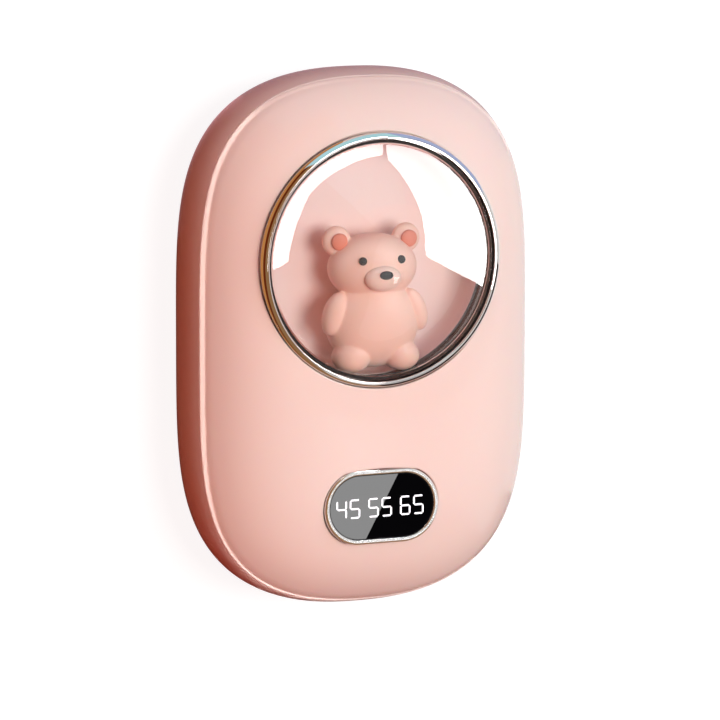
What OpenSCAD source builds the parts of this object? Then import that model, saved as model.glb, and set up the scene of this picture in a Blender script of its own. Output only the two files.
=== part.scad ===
// Rechargeable hand warmer with a domed capsule and a numeric display.
// It lies on its back: X is to the right, Y is towards its top, Z is out of its face.
// The origin is the middle of the flat back.

/* [Case] */
// Height of the case from bottom to top
case_h = 104; // [102:0.5:112]
// Width of the case across its widest line
case_w = 70; // [69:0.5:76]
// Height of the edge of the face above the back
edge_z = 20.5; // [20.2:0.1:22]
// Height of the widest line of the side wall above the back
bulge_z = 13.2; // [13:0.1:13.8]
// How far the side wall swells past the edge of the face
bulge = 1.6; // [1.4:0.1:1.8]
// Rise of the face from its edge to its middle
crown = 8.2; // [7.8:0.1:9]
// Thickness of the case walls
wall = 1.8; // [1.6:0.1:2]
// Width of the rounding along the edge of the face
edge_round = 1.1; // [0.7:0.1:1.5]
// Height of the tongue that laps inside the back shell
lap_h = 2.4; // [2:0.1:3]

/* [Capsule] */
// Distance from the top of the case to the middle of the capsule
capsule_from_top = 35.6; // [35.2:0.1:38]
// Outer radius of the chrome ring
ring_r = 24.4; // [24:0.1:24.8]
// Width of the chrome ring
ring_w = 1.2; // [1.1:0.1:1.3]
// Height of the chrome ring
ring_h = 2.8; // [2.7:0.1:3.4]
// Depth of the seat of the ring below the top of the face
seat_depth = 2.5; // [2.3:0.1:2.8]
// Rise of the clear dome above its rim
dome_rise = 8.6; // [8.2:0.2:10]
// Thickness of the clear dome
dome_t = 1.4; // [1.1:0.1:1.6]
// Radius of the recess inside
cup_r = 22.2; // [21.8:0.1:22.4]
// Depth of the recess below the seat of the ring
cup_depth = 9.3; // [8.5:0.1:10]
// Thickness of the cup
cup_t = 1.3; // [1:0.1:1.5]
// Radius of the round corner between the floor and the wall of the cup
cup_round = 4; // [2.5:0.25:4.5]

/* [Toy bear] */
// Width of the body of the bear
bear_w = 18.5; // [16.5:0.25:19]
// Height of the body of the bear
bear_h = 17; // [15.5:0.25:17.5]
// Depth of the body of the bear from back to belly
bear_d = 11.6; // [10.5:0.1:12]

/* [Display] */
// Distance from the bottom of the case to the middle of the display
display_from_bottom = 21; // [20.8:0.1:23]
// Length of the chrome bezel
bezel_l = 23.5; // [23:0.1:25]
// Height of the chrome bezel
bezel_h = 14.4; // [14:0.1:15]
// Width of the rim of the bezel
bezel_w = 1.2; // [1:0.1:1.4]
// Thickness of the window
window_t = 1.2; // [1:0.1:1.4]
// Height of one digit
digit_h = 3.75; // [3.25:0.25:4]

/* [Power button] */
// Distance from the bottom of the case to the middle of the button
button_from_bottom = 26; // [25:0.25:28]
// Length of the button along the case
button_l = 11; // [9:0.25:12]
// Height of the button
button_h = 5; // [4.4:0.1:5.4]
// How far the button stands out of the wall
button_proud = 0.3; // [0.2:0.05:0.3]
// Travel of the button
button_travel = 0.3; // [0.2:0.05:0.35]

/* [Heater and battery] */
// Thickness of the aluminium plate that spreads the heat
plate_t = 0.6; // [0.4:0.1:0.8]
// Thickness of the heating film
film_t = 0.3; // [0.2:0.1:0.4]
// Thickness of the foam pad
foam_t = 1; // [0.6:0.1:1.2]
// Width of the battery
battery_w = 44; // [40:0.5:45]
// Length of the battery
battery_l = 50; // [44:0.5:51]
// Thickness of the battery
battery_t = 9; // [7.5:0.25:10]
// Distance from the top of the case to the battery
battery_from_top = 14; // [13:0.25:14.5]

/* [Board and socket] */
// Thickness of the circuit board
board_t = 1.6; // [1:0.1:1.8]
// Gap between the circuit board and the side wall
board_gap = 3; // [2.9:0.1:3.4]
// Width of the charging socket
socket_w = 8.94; // [8.8:0.02:9.1]
// Height of the charging socket
socket_h = 3.26; // [3.2:0.02:3.4]
// Length of the charging socket
socket_l = 7.35; // [6.5:0.05:7.9]

/* [Hidden] */

// Colours
pink = [0.97, 0.79, 0.76];
deep_pink = [0.9, 0.66, 0.63];
coral = [0.94, 0.52, 0.44];
chrome = [0.82, 0.8, 0.8];
dark = [0.1, 0.1, 0.11];
gold = [0.85, 0.68, 0.35];

// Facets of the lofted case, and powers of its outline and of its crowned face
facets = 72;
side_power = 2.39;
end_power = 4;
crown_power = 4.4;
waist_power = 2.5;
overrun = 1;
fit = 0.1;

// Case: a wide arc down the side wall, then a tighter arc into the flat back
corner_turn = 30;
edge_a = case_w / 2 - bulge;
edge_b = case_h / 2 - bulge;
side_r = (pow(edge_z - bulge_z, 2) + pow(bulge, 2)) / (2 * bulge);
corner_r = (bulge_z - side_r * sin(corner_turn)) / (1 - sin(corner_turn));
corner_out = bulge - side_r + (side_r - corner_r) * cos(corner_turn);
seam_z = edge_z - edge_round;
face_z = edge_z + crown;
floor_a = edge_a + corner_out;
floor_b = edge_b + corner_out;
corner_steps = 5;
low_steps = 3;
high_steps = 3;
round_steps = 3;
face_shares = [0.09, 0.15, 0.22, 0.3, 0.4, 0.55, 0.8];
inner_face_shares = [0.03, 0.1, 0.18, 0.27, 0.38, 0.54, 0.8];

// Lap joint and its snap beads
lap_gap = 0.12;
lap_root = 0.6;
bead_r = 0.5;
bead_out = 0.3;
side_bead_l = 8;
side_bead_y = 11;
end_bead_l = 6;
bead_z = seam_z - lap_h * 0.6;

// Ring, gasket and dome
capsule_y = case_h / 2 - capsule_from_top;
seat_z = face_z - seat_depth;
seat_fit = 0.12;
ring_foot_t = 0.6;
skirt_t = 0.6;
ring_hole_r = cup_r + skirt_t + fit;
gasket_t = 0.3;
dome_rim_t = 0.7;
dome_z = seat_z + ring_foot_t + gasket_t;
dome_r = ring_r - ring_w - fit;
dome_ball_r = (pow(dome_r, 2) + pow(dome_rise, 2)) / (2 * dome_rise);
dome_centre_z = dome_z + dome_rim_t + dome_rise - dome_ball_r;
collar_w = 2.4;

// Cup, its ears and their bosses
ledge_t = 3.2;
ledge_z = seat_z - ledge_t;
cup_floor_z = seat_z - cup_depth;
ear_angles = [45, 135, 270];
ear_reach = 3.9;
ear_r = 2.1;
ear_t = 1.6;
cup_screw_r = 0.85;
cup_screw_bite = 2;
screw_head_r = 1.6;
screw_head_h = 1.2;
screw_slot_w = 0.5;
screw_slot_l = 2;
screw_slot_depth = 0.5;
screw_gap = 0.06;

// Display
display_y = display_from_bottom - case_h / 2;
bezel_seat = 2.1;
bezel_seat_z = face_z - bezel_seat;
bezel_top = 2.1;
bezel_ledge_t = 0.6;
bezel_ledge_w = 1;
bezel_collar = 1.4;
bezel_collar_t = 1.4;
display_hole_l = bezel_l - 2 * bezel_w - 2 * bezel_ledge_w + 2 * fit;
display_hole_h = bezel_h - 2 * bezel_w - 2 * bezel_ledge_w + 2 * fit;
window_z = bezel_seat_z + bezel_ledge_t;
segment_t = 0.15;
module_face_z = window_z - segment_t;
module_step_z = bezel_seat_z - bezel_collar_t - 2 * fit;
module_w = 21;
module_d = 11;
module_standoff = 1.5;
digit_w = digit_h * 0.58;
stroke = digit_h * 0.105;
digit_step = digit_w * 1.26;
pair_step = digit_w * 3.03;
pin_r = 0.25;
pin_pitch = 3;
pins_in_row = 6;
pin_row_gap = 8;
pin_end = 0.5;

// Charging socket
socket_wall = 0.3;
socket_gap = 0.2;
mouth_depth = 0.7;
tongue_w = 6.7;
tongue_t = 0.7;
tongue_l = 4.4;
socket_back = 1.2;
socket_y = mouth_depth - case_h / 2;

// Board
board_z = bulge_z + socket_h / 2;
board_top_z = board_z + board_t;
board_reach = 19;
board_top_y = display_y + board_reach;
tab_w = 16;
tab_gap = 0.8;
board_a = case_w / 2 - wall - board_gap;
board_b = case_h / 2 - wall - board_gap;
board_clear = 0.5;
low_boss_drop = 6.8;
low_boss_rim = 4.3;
low_boss_y = display_y - low_boss_drop;
low_boss_x = outline_x(board_a, board_b, low_boss_y) - low_boss_rim;
high_boss_rise = 13.4;
high_boss_rim = 4.7;
high_boss_y = display_y + high_boss_rise;
high_boss_x = board_a - high_boss_rim;
boss_r = 2.3;
boss_foot_r = 3.1;
boss_foot_h = 2.2;
board_screw_r = 0.95;
board_screw_l = 6;
screw_clearance = 0.2;

// Button, its flange and the switch
button_y = button_from_bottom - case_h / 2;
button_gap = 0.15;
flange_rim = 1.1;
button_flange_t = 0.9;
flange_gap = 0.25;
stem_r = 1.5;
stem_l = 1;
switch_w = 6;
switch_d = 3.5;
switch_h = 3.2;
plunger_r = 0.9;
plunger_out = 0.8;
plunger_gap = 0.05;
plunger_in = 1.4;
notch_l = button_l + 2 * flange_rim + 2 * board_clear;
flange_reach = abs(button_y) + button_l / 2 + flange_rim;
flange_x = outline_x(case_w / 2 - wall, case_h / 2 - wall, flange_reach) - flange_gap;
stem_x = flange_x - button_flange_t - stem_l;
switch_x = stem_x - plunger_out;

// Heater and battery
plate_inset = 3;
film_inset = 1.2;
plate_a = floor_a - plate_inset;
plate_b = floor_b - plate_inset;
film_a = plate_a - film_inset;
film_b = plate_b - film_inset;
boss_gap = 0.4;
plate_z = wall;
film_z = plate_z + plate_t;
foam_z = film_z + film_t;
battery_z = foam_z + foam_t;
battery_top_y = case_h / 2 - battery_from_top;
battery_y = battery_top_y - battery_l / 2;
battery_round = 3;
terrace_l = 2.2;
terrace_w = 36;
terrace_t = 2.4;
terrace_z = battery_z + battery_t / 2 - terrace_t / 2;
rib_gap = 0.4;
rib_t = 1.2;
rib_h = 6;
rib_l = 30;
foam_inset = 3;

// Connector and wires
header_share = 0.437;
header_x = board_a * header_share;
header_w = 8;
header_d = 5.6;
header_h = 4;
header_wall = 0.7;
header_drop = 3.6;
header_y = display_y - header_drop;
plug_out = 1.6;
wire_r = 0.6;
wire_sides = 8;
wire_pitch = 2.4;
plug_y = header_y + header_d + plug_out;
plug_z = board_z - header_h / 2;
terrace_y = battery_y - battery_l / 2 - terrace_l;
wire_slack = 3;
heater_wire_r = 0.5;
heater_wire_pitch = 3;
heater_wire_in = 3;
heater_wire_y = heater_wire_in - film_b;
bead_len = 2.6;
sensor_r = 0.9;
sensor_lead_r = 0.25;
sensor_share = 0.46;
sensor_in = 2;
sensor_x = -film_a * sensor_share;
sensor_y = heater_wire_y + sensor_in;
sensor_lead_pitch = 1.1;

// Chips on the board: places from the display in shares of the board's half-width, and width, depth and
// height in shares of the controller's width
chip_w = 6.5;
chip_place_shares = [[-0.26, 0.32], [-0.62, -0.03], [0.26, -0.3], [-0.26, -0.27]];
chip_size_shares = [[1, 1, 0.18], [0.75, 0.6, 0.23], [0.77, 0.77, 0.14], [0.46, 0.46, 0.14]];
inductor_share = 0.66;
inductor_rise = 5.4;
inductor_x = -board_a * inductor_share;
inductor_y = display_y + inductor_rise;
inductor_w = 6;
inductor_base_h = 0.6;
inductor_h = 3;
capacitor_l = 1.6;
capacitor_w = 0.8;
capacitor_h = 0.8;
capacitor_step = 2.6;
capacitor_place_shares = [[0.68, -0.07], [-0.43, -0.3]];
capacitor_counts = [5, 4];

// Bear, measured from the middle of its body
ear_share = 0.32;
bear_gap = 0.3;
bear_back_z = cup_floor_z + bear_gap;
bear_z = bear_back_z + bear_d / 2;
foot_x_share = 0.27;
foot_w = bear_w * 0.4;
foot_h = bear_h * 0.34;
foot_d = bear_d * 0.62;
foot_x = bear_w * foot_x_share;
foot_y = capsule_y - sqrt(pow(cup_r, 2) - pow(foot_x, 2)) + foot_h / 2 + bear_gap;
bear_y = foot_y + bear_h * 0.36;
head_w = bear_w * 0.96;
head_h = bear_h * 0.76;
head_d = bear_d * 0.98;
head_y = bear_y + bear_h * 0.62;
ear_size = head_w * ear_share;
ear_x = head_w * 0.4;
ear_y = head_y + head_h * 0.4;
ear_d = head_d * 0.3;
ear_z = bear_z - head_d * 0.05;
lining_size = ear_size * 0.58;
lining_d = ear_d * 0.4;
arm_w = bear_w * 0.25;
arm_h = bear_h * 0.5;
arm_d = bear_d * 0.38;
arm_x = bear_w * 0.44;
arm_y = bear_y + bear_h * 0.13;
arm_z = bear_z + bear_d * 0.12;
arm_lean = 20;
muzzle_w = head_w * 0.42;
muzzle_h = head_h * 0.38;
muzzle_d = head_d * 0.34;
muzzle_y = head_y - head_h * 0.12;
muzzle_z = bear_z + head_d * 0.45;
nose_w = muzzle_w * 0.36;
nose_h = muzzle_h * 0.34;
nose_d = muzzle_d * 0.36;
nose_y = muzzle_y + muzzle_h * 0.16;
nose_z = muzzle_z + muzzle_d * 0.48;
eye_r = head_w * 0.045;
eye_x = head_w * 0.22;
eye_y = head_y + head_h * 0.14;
eye_z = bear_z + head_d / 2
    * sqrt(1 - pow(2 * eye_x / head_w, 2) - pow(2 * (eye_y - head_y) / head_h, 2));
peg_r = 1.5;
peg_y = bear_y;

$fn = 72;

// Signed power, for outlines of the form |x/a|^p + |y/b|^q = 1
function signed_power(v, p) = sign(v) * pow(abs(v), p);
function outline(a, b, n = facets) = [for (i = [0 : n - 1]) [
    a * signed_power(cos(360 * i / n), 2 / side_power),
    b * signed_power(sin(360 * i / n), 2 / end_power)]];
// Half-width of that outline at height y
function outline_x(a, b, y) = a * pow(1 - pow(abs(y) / b, end_power), 1 / side_power);

// A profile point is [how far out of the edge of the face, height]. Towards the middle of the face the
// rings lose the difference of the two half sizes as well, so that they close in the middle.
function ring_a(out) = edge_a + out;
function ring_b(out) = edge_b + out - (edge_b - edge_a) * pow(max(-out, 0) / edge_a, waist_power);
function case_ring(p) = [for (q = outline(ring_a(p[0]), ring_b(p[0]))) [q[0], q[1], p[1]]];
function wall_ring(p) = [for (q = outline(edge_a + p[0], edge_b + p[0])) [q[0], q[1], p[1]]];

// Points of the profile at a depth t below the outer surface
function side_point(angle, t) =
    [bulge - side_r + (side_r - t) * cos(angle), bulge_z + (side_r - t) * sin(angle)];
function side_at(z, t) = side_point(asin((z - bulge_z) / (side_r - t)), t);
function corner_point(angle, t) =
    [corner_out + (corner_r - t) * cos(angle), corner_r + (corner_r - t) * sin(angle)];
function face_slope(u) = crown_power * crown / edge_a * pow(1 - u, crown_power - 1);
function face_point(u, t) = let (s = face_slope(u), n = sqrt(1 + s * s))
    [-edge_a * u - t * s / n, edge_z + crown * (1 - pow(1 - u, crown_power)) - t / n];
function mix(a, b, k) = a + (b - a) * k;
// Rounded edge between the wall and the face, a curve drawn in by its corner
function round_point(k) =
    let (c = [0, edge_z], a = side_at(seam_z, 0), b = face_point(edge_round / edge_a, 0))
    mix(mix(a, c, k), mix(c, b, k), k);

function back_profile(t) = concat(
    [for (i = [0 : corner_steps]) corner_point(-90 + (90 - corner_turn) * i / corner_steps, t)],
    [for (i = [1 : low_steps]) side_point(-corner_turn * (1 - i / low_steps), t)],
    [for (i = [1 : high_steps]) side_at(mix(bulge_z, seam_z, i / high_steps), t)]);

// A closed solid through rings of points, each ring above the last
module loft(rings) {
    n = len(rings[0]);
    last = len(rings) - 1;
    polyhedron(
        points = [for (r = rings) each r],
        faces = concat(
            [[for (i = [0 : n - 1]) i]],
            [for (k = [0 : last - 1], i = [0 : n - 1])
                [k * n + i, k * n + n + i, k * n + n + (i + 1) % n]],
            [for (k = [0 : last - 1], i = [0 : n - 1])
                [k * n + i, k * n + n + (i + 1) % n, k * n + (i + 1) % n]],
            [[for (i = [0 : n - 1]) last * n + n - 1 - i]]));
}

// A tube through points, with rings square to the way it runs
function unit(v) = v / norm(v);
function way(route, i) = unit(route[min(i + 1, len(route) - 1)] - route[max(i - 1, 0)]);
function tube_ring(centre, along, r, n) =
    let (u = unit(cross(along, [1, 0, 0])), v = cross(along, u))
    [for (k = [0 : n - 1]) centre + r * (cos(360 * k / n) * v + sin(360 * k / n) * u)];
module tube(route, r) {
    loft([for (i = [0 : len(route) - 1]) tube_ring(route[i], way(route, i), r, wire_sides)]);
}
// A cubic curve between two straight stubs, leaving a towards b and arriving at d from c
function bend(a, b, c, d, steps) = [for (i = [0 : steps]) let (k = i / steps, j = 1 - k)
    j * j * j * a + 3 * j * j * k * b + 3 * j * k * k * c + k * k * k * d];
function curve(a, b, c, d, stub, steps = 7) = let (s = a + stub * unit(b - a), e = d + stub * unit(c - d))
    concat([a], bend(s, b, c, e, steps), [d]);

module pill(l, h) {
    square([l - h, h], center = true);
    for (side = [-1, 1]) translate([side * (l - h) / 2, 0]) circle(d = h);
}

module round_rect(w, h, r) {
    square([w, h - 2 * r], center = true);
    square([w - 2 * r, h], center = true);
    for (sx = [-1, 1], sy = [-1, 1]) translate([sx * (w / 2 - r), sy * (h / 2 - r)]) circle(r = r);
}

module ellipsoid(w, h, d, n = 16) {
    hull() scale([w / 2, h / 2, d / 2]) sphere(r = 1, $fn = n);
}

module screw(shank_r, shank_l) {
    difference() {
        union() {
            cylinder(r = screw_head_r, h = screw_head_h);
            translate([0, 0, -shank_l]) cylinder(r = shank_r, h = shank_l);
        }
        translate([0, 0, screw_head_h]) for (turn = [0, 90]) rotate(turn)
            cube([screw_slot_l, screw_slot_w, 2 * screw_slot_depth], center = true);
    }
}

module at_ears() {
    for (angle = ear_angles) translate([0, capsule_y]) rotate(angle)
        translate([cup_r + cup_t + ear_reach - ear_r, 0]) children();
}

module at_bosses() {
    for (side = [-1, 1]) {
        translate([side * low_boss_x, low_boss_y]) children();
        translate([side * high_boss_x, high_boss_y]) children();
    }
}

// Ribs beside the battery, grown by a gap for what has to clear them
module rib_places(gap) {
    for (side = [-1, 1]) translate([side * (battery_w / 2 + rib_gap + rib_t / 2), battery_y])
        square([rib_t + 2 * gap, rib_l + 2 * gap], center = true);
}

// Snap beads on the tongue, grown by a gap for the grooves that take them
module snap_beads(gap) {
    x = ring_a(side_at(bead_z, wall / 2 + lap_gap)[0]) + bead_out - bead_r;
    y = edge_b + side_at(bead_z, wall / 2 + lap_gap)[0] + bead_out - bead_r;
    for (sx = [-1, 1], sy = [-1, 1]) translate([sx * x, sy * side_bead_y, bead_z])
        rotate([90, 0, 0]) cylinder(r = bead_r + gap, h = side_bead_l + 2 * gap, center = true, $fn = 24);
    for (sy = [-1, 1]) translate([0, sy * y, bead_z])
        rotate([0, 90, 0]) cylinder(r = bead_r + gap, h = end_bead_l + 2 * gap, center = true, $fn = 24);
}

module back_form(t) {
    loft([for (p = back_profile(t)) wall_ring(p)]);
}

module face_form() {
    loft(concat(
        [for (i = [0 : round_steps]) case_ring(round_point(i / round_steps))],
        [for (u = face_shares) case_ring(face_point(u, 0))]));
}

module button_hole(gap, from_x, depth) {
    translate([from_x, button_y, bulge_z]) rotate([90, 0, 90])
        linear_extrude(depth) pill(button_l + 2 * gap, button_h + 2 * gap);
}

module rear_shell() {
    color(pink) difference() {
        back_form(0);
        difference() {
            loft(concat([for (p = back_profile(wall)) wall_ring(p)],
                [wall_ring(side_at(seam_z + overrun, wall))]));
            at_bosses() {
                cylinder(r = boss_r, h = board_z);
                cylinder(r = boss_foot_r, h = wall + boss_foot_h);
            }
            linear_extrude(wall + rib_h) rib_places(0);
        }
        loft([wall_ring(side_at(seam_z - lap_h - lap_gap, wall / 2)),
            wall_ring(side_at(seam_z + overrun, wall / 2))]);
        snap_beads(lap_gap);
        at_bosses() translate([0, 0, board_z - board_screw_l])
            cylinder(r = board_screw_r + screw_gap, h = board_screw_l);
        button_hole(button_gap, flange_x, case_w / 2);
        translate([0, socket_y - mouth_depth - overrun, bulge_z]) rotate([-90, 0, 0])
            linear_extrude(mouth_depth + wall + 2 * overrun)
                pill(socket_w + 2 * socket_gap, socket_h + 2 * socket_gap);
    }
}

module front_shell() {
    color(pink) difference() {
        union() {
            face_form();
            loft([wall_ring(side_at(seam_z - lap_h, wall / 2 + lap_gap)),
                wall_ring(side_at(seam_z + lap_root, wall / 2 + lap_gap))]);
            snap_beads(0);
        }
        difference() {
            loft(concat(
                [wall_ring(side_at(seam_z - lap_h - overrun, wall)), wall_ring(side_at(seam_z, wall))],
                [for (u = inner_face_shares) case_ring(face_point(u, wall))]));
            translate([0, capsule_y, ledge_z]) cylinder(r = ring_r + collar_w, h = crown);
            at_ears() translate([0, 0, ledge_z]) cylinder(r = ear_r, h = crown);
            translate([0, display_y, bezel_seat_z - bezel_collar_t])
                linear_extrude(crown) pill(bezel_l + 2 * bezel_collar, bezel_h + 2 * bezel_collar);
        }
        translate([0, capsule_y, seat_z]) cylinder(r = ring_r + seat_fit, h = crown);
        translate([0, capsule_y, ledge_z - overrun])
            cylinder(r = ring_hole_r, h = ledge_t + 2 * overrun);
        at_ears() translate([0, 0, ledge_z - overrun])
            cylinder(r = cup_screw_r + screw_gap, h = cup_screw_bite + overrun);
        translate([0, display_y, bezel_seat_z])
            linear_extrude(crown) pill(bezel_l + 2 * fit, bezel_h + 2 * fit);
        translate([0, display_y, bezel_seat_z - bezel_collar_t - overrun])
            linear_extrude(crown) pill(display_hole_l, display_hole_h);
    }
}

// Half profile of a recess with a round bottom corner
module recess_profile(r, h, round) {
    square([r - round, h]);
    translate([0, round]) square([r, h - round]);
    intersection() {
        translate([r - round, round]) circle(r = round);
        square([r, h]);
    }
}

module capsule_cup() {
    color(deep_pink) difference() {
        union() {
            translate([0, capsule_y, cup_floor_z - cup_t]) rotate_extrude() difference() {
                recess_profile(cup_r + cup_t, ledge_z - cup_floor_z + cup_t, cup_round + cup_t);
                translate([0, cup_t]) recess_profile(cup_r, ledge_z - cup_floor_z + overrun, cup_round);
            }
            at_ears() translate([0, 0, ledge_z - ear_t]) difference() {
                union() {
                    cylinder(r = ear_r, h = ear_t);
                    translate([-ear_reach, -ear_r, 0]) cube([ear_reach, 2 * ear_r, ear_t]);
                }
            }
        }
        translate([0, capsule_y, cup_floor_z + cup_round]) cylinder(r = cup_r, h = ledge_z - cup_floor_z);
        at_ears() translate([0, 0, ledge_z - ear_t - overrun])
            cylinder(r = cup_screw_r + screw_clearance, h = ear_t + 2 * overrun);
        translate([0, peg_y, cup_floor_z - cup_t - overrun])
            cylinder(r = peg_r + fit, h = cup_t + 2 * overrun);
    }
}

module capsule_dome() {
    color(chrome, 0.3) translate([0, capsule_y, 0]) rotate_extrude() difference() {
        intersection() {
            translate([0, dome_centre_z]) circle(r = dome_ball_r);
            translate([0, dome_z]) square([dome_r, dome_rise + dome_rim_t + overrun]);
        }
        translate([0, dome_centre_z]) circle(r = dome_ball_r - dome_t);
    }
}

// The ring stands on the seat of the cover by its foot, and its skirt lines the hole down to the cup
module dome_ring() {
    color(chrome) translate([0, capsule_y, seat_z]) rotate_extrude() {
        translate([ring_r - ring_w, 0]) square([ring_w, ring_h - ring_w / 2]);
        translate([ring_r - ring_w / 2, ring_h - ring_w / 2]) circle(d = ring_w);
        translate([cup_r, 0]) square([ring_r - cup_r, ring_foot_t]);
        translate([cup_r, fit - ledge_t]) square([skirt_t, ledge_t]);
    }
}

module dome_gasket() {
    color(dark) translate([0, capsule_y, seat_z + ring_foot_t]) difference() {
        cylinder(r = dome_r, h = gasket_t);
        translate([0, 0, -overrun]) cylinder(r = cup_r + fit, h = gasket_t + 2 * overrun);
    }
}

module bear_figure() {
    color(pink) {
        translate([0, bear_y, bear_z]) ellipsoid(bear_w, bear_h, bear_d, 24);
        translate([0, head_y, bear_z]) ellipsoid(head_w, head_h, head_d, 24);
        for (side = [-1, 1]) {
            translate([side * ear_x, ear_y, ear_z]) ellipsoid(ear_size, ear_size, ear_d);
            translate([side * arm_x, arm_y, arm_z]) rotate(side * arm_lean)
                ellipsoid(arm_w, arm_h, arm_d);
            translate([side * foot_x, foot_y, bear_z + bear_d * 0.14]) ellipsoid(foot_w, foot_h, foot_d);
        }
        translate([0, peg_y, cup_floor_z - cup_t])
            hull() cylinder(r = peg_r, h = cup_t + bear_d / 2, $fn = 20);
    }
}

module bear_muzzle() {
    color(deep_pink) difference() {
        translate([0, muzzle_y, muzzle_z]) ellipsoid(muzzle_w, muzzle_h, muzzle_d);
        translate([0, head_y, bear_z]) ellipsoid(head_w, head_h, head_d, 24);
    }
}

module bear_ear_linings() {
    color(coral) difference() {
        for (side = [-1, 1]) translate([side * ear_x, ear_y, ear_z + ear_d / 2])
            ellipsoid(lining_size, lining_size, lining_d);
        for (side = [-1, 1]) translate([side * ear_x, ear_y, ear_z]) ellipsoid(ear_size, ear_size, ear_d);
        translate([0, head_y, bear_z]) ellipsoid(head_w, head_h, head_d, 24);
    }
}

module bear_eyes() {
    color(dark) difference() {
        for (side = [-1, 1]) translate([side * eye_x, eye_y, eye_z]) hull() sphere(r = eye_r, $fn = 16);
        translate([0, head_y, bear_z]) ellipsoid(head_w, head_h, head_d, 24);
    }
}

module bear_nose() {
    color(dark) difference() {
        translate([0, nose_y, nose_z]) ellipsoid(nose_w, nose_h, nose_d);
        translate([0, muzzle_y, muzzle_z]) ellipsoid(muzzle_w, muzzle_h, muzzle_d);
    }
}

module display_bezel() {
    color(chrome) translate([0, display_y, bezel_seat_z]) difference() {
        linear_extrude(bezel_top) pill(bezel_l, bezel_h);
        translate([0, 0, bezel_ledge_t])
            linear_extrude(bezel_top) pill(bezel_l - 2 * bezel_w, bezel_h - 2 * bezel_w);
        translate([0, 0, -overrun]) linear_extrude(bezel_top) pill(display_hole_l, display_hole_h);
    }
}

module display_window() {
    color(dark) translate([0, display_y, window_z]) linear_extrude(window_t)
        pill(bezel_l - 2 * bezel_w - 2 * fit, bezel_h - 2 * bezel_w - 2 * fit);
}

module display_module() {
    color(dark) {
        translate([0, display_y, board_top_z + module_standoff])
            linear_extrude(module_step_z - board_top_z - module_standoff)
                square([module_w, module_d], center = true);
        translate([0, display_y, module_step_z - fit]) linear_extrude(module_face_z - module_step_z + fit)
            pill(display_hole_l - 4 * fit, display_hole_h - 4 * fit);
    }
}

// One bar of a digit, pointed at both ends
module bar(l, w) {
    polygon([[-l / 2, 0], [(w - l) / 2, w / 2], [(l - w) / 2, w / 2],
        [l / 2, 0], [(l - w) / 2, -w / 2], [(w - l) / 2, -w / 2]]);
}

module digit() {
    reach = (digit_h - stroke) / 2;
    across = digit_w - stroke;
    for (y = [-reach, 0, reach]) translate([0, y]) bar(across - fit, stroke);
    for (sx = [-1, 1], sy = [-1, 1]) translate([sx * across / 2, sy * reach / 2])
        rotate(90) bar(reach - fit, stroke);
}

module display_segments() {
    color("white") translate([0, display_y, module_face_z]) linear_extrude(segment_t)
        for (pair = [-1 : 1], place = [-1, 1])
            translate([pair * pair_step + place * digit_step / 2, 0]) digit();
}

module at_pins() {
    for (i = [0 : pins_in_row - 1], side = [-1, 1])
        translate([(i - (pins_in_row - 1) / 2) * pin_pitch, display_y + side * pin_row_gap / 2]) children();
}

module display_pins() {
    color(gold) at_pins() translate([0, 0, board_z - pin_end])
        cylinder(r = pin_r, h = pin_end + board_t + module_standoff);
}

module main_board() {
    color("darkgreen") translate([0, 0, board_z]) linear_extrude(board_t) difference() {
        union() {
            intersection() {
                polygon(outline(board_a, board_b));
                translate([-board_a, -board_b]) square([2 * board_a, board_top_y + board_b]);
            }
            translate([-tab_w / 2, wall + tab_gap - case_h / 2]) square([tab_w, board_gap + wall]);
        }
        at_bosses() circle(r = board_screw_r + screw_clearance);
        translate([flange_x - button_flange_t - button_travel - board_clear, button_y - notch_l / 2])
            square([board_a, notch_l]);
        translate([0, capsule_y]) circle(r = cup_r + cup_t + board_clear);
        at_pins() circle(r = pin_r + screw_gap);
    }
}

module usb_socket_shell() {
    color("silver") translate([0, socket_y, bulge_z]) rotate([-90, 0, 0]) difference() {
        linear_extrude(socket_l) pill(socket_w, socket_h);
        translate([0, 0, -overrun]) linear_extrude(socket_l + 2 * overrun)
            pill(socket_w - 2 * socket_wall, socket_h - 2 * socket_wall);
    }
}

module usb_socket_tongue() {
    color(dark) translate([0, socket_y + socket_l - socket_back, bulge_z]) rotate([-90, 0, 0]) {
        linear_extrude(socket_back)
            pill(socket_w - 2 * socket_wall - fit, socket_h - 2 * socket_wall - fit);
        translate([0, 0, -tongue_l])
            linear_extrude(tongue_l + fit) square([tongue_w, tongue_t], center = true);
    }
}

module side_switch() {
    color("dimgray") difference() {
        translate([switch_x - switch_d, button_y - switch_w / 2, board_z - switch_h])
            cube([switch_d, switch_w, switch_h]);
        translate([switch_x - plunger_in - button_travel, button_y, bulge_z]) rotate([0, 90, 0])
            cylinder(r = plunger_r + plunger_gap, h = plunger_in + button_travel + overrun);
    }
}

module switch_plunger() {
    color("ivory") translate([switch_x - plunger_in + plunger_gap, button_y, bulge_z]) rotate([0, 90, 0])
        cylinder(r = plunger_r, h = plunger_in - plunger_gap + plunger_out);
}

module power_button() {
    color(pink) {
        intersection() {
            button_hole(0, flange_x - button_flange_t / 2, case_w / 2);
            translate([button_proud, 0, 0]) back_form(0);
        }
        translate([flange_x - button_flange_t, button_y, bulge_z]) rotate([90, 0, 90])
            linear_extrude(button_flange_t) pill(button_l + 2 * flange_rim, button_h + 2 * flange_rim);
        translate([stem_x, button_y, bulge_z]) rotate([0, 90, 0])
            cylinder(r = stem_r, h = stem_l + button_flange_t / 2);
    }
}

module battery_cell() {
    color("silver") {
        translate([0, battery_y, battery_z])
            linear_extrude(battery_t) round_rect(battery_w, battery_l, battery_round);
        translate([-terrace_w / 2, battery_y - battery_l / 2 - terrace_l, terrace_z])
            cube([terrace_w, terrace_l + battery_round, terrace_t]);
    }
}

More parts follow.
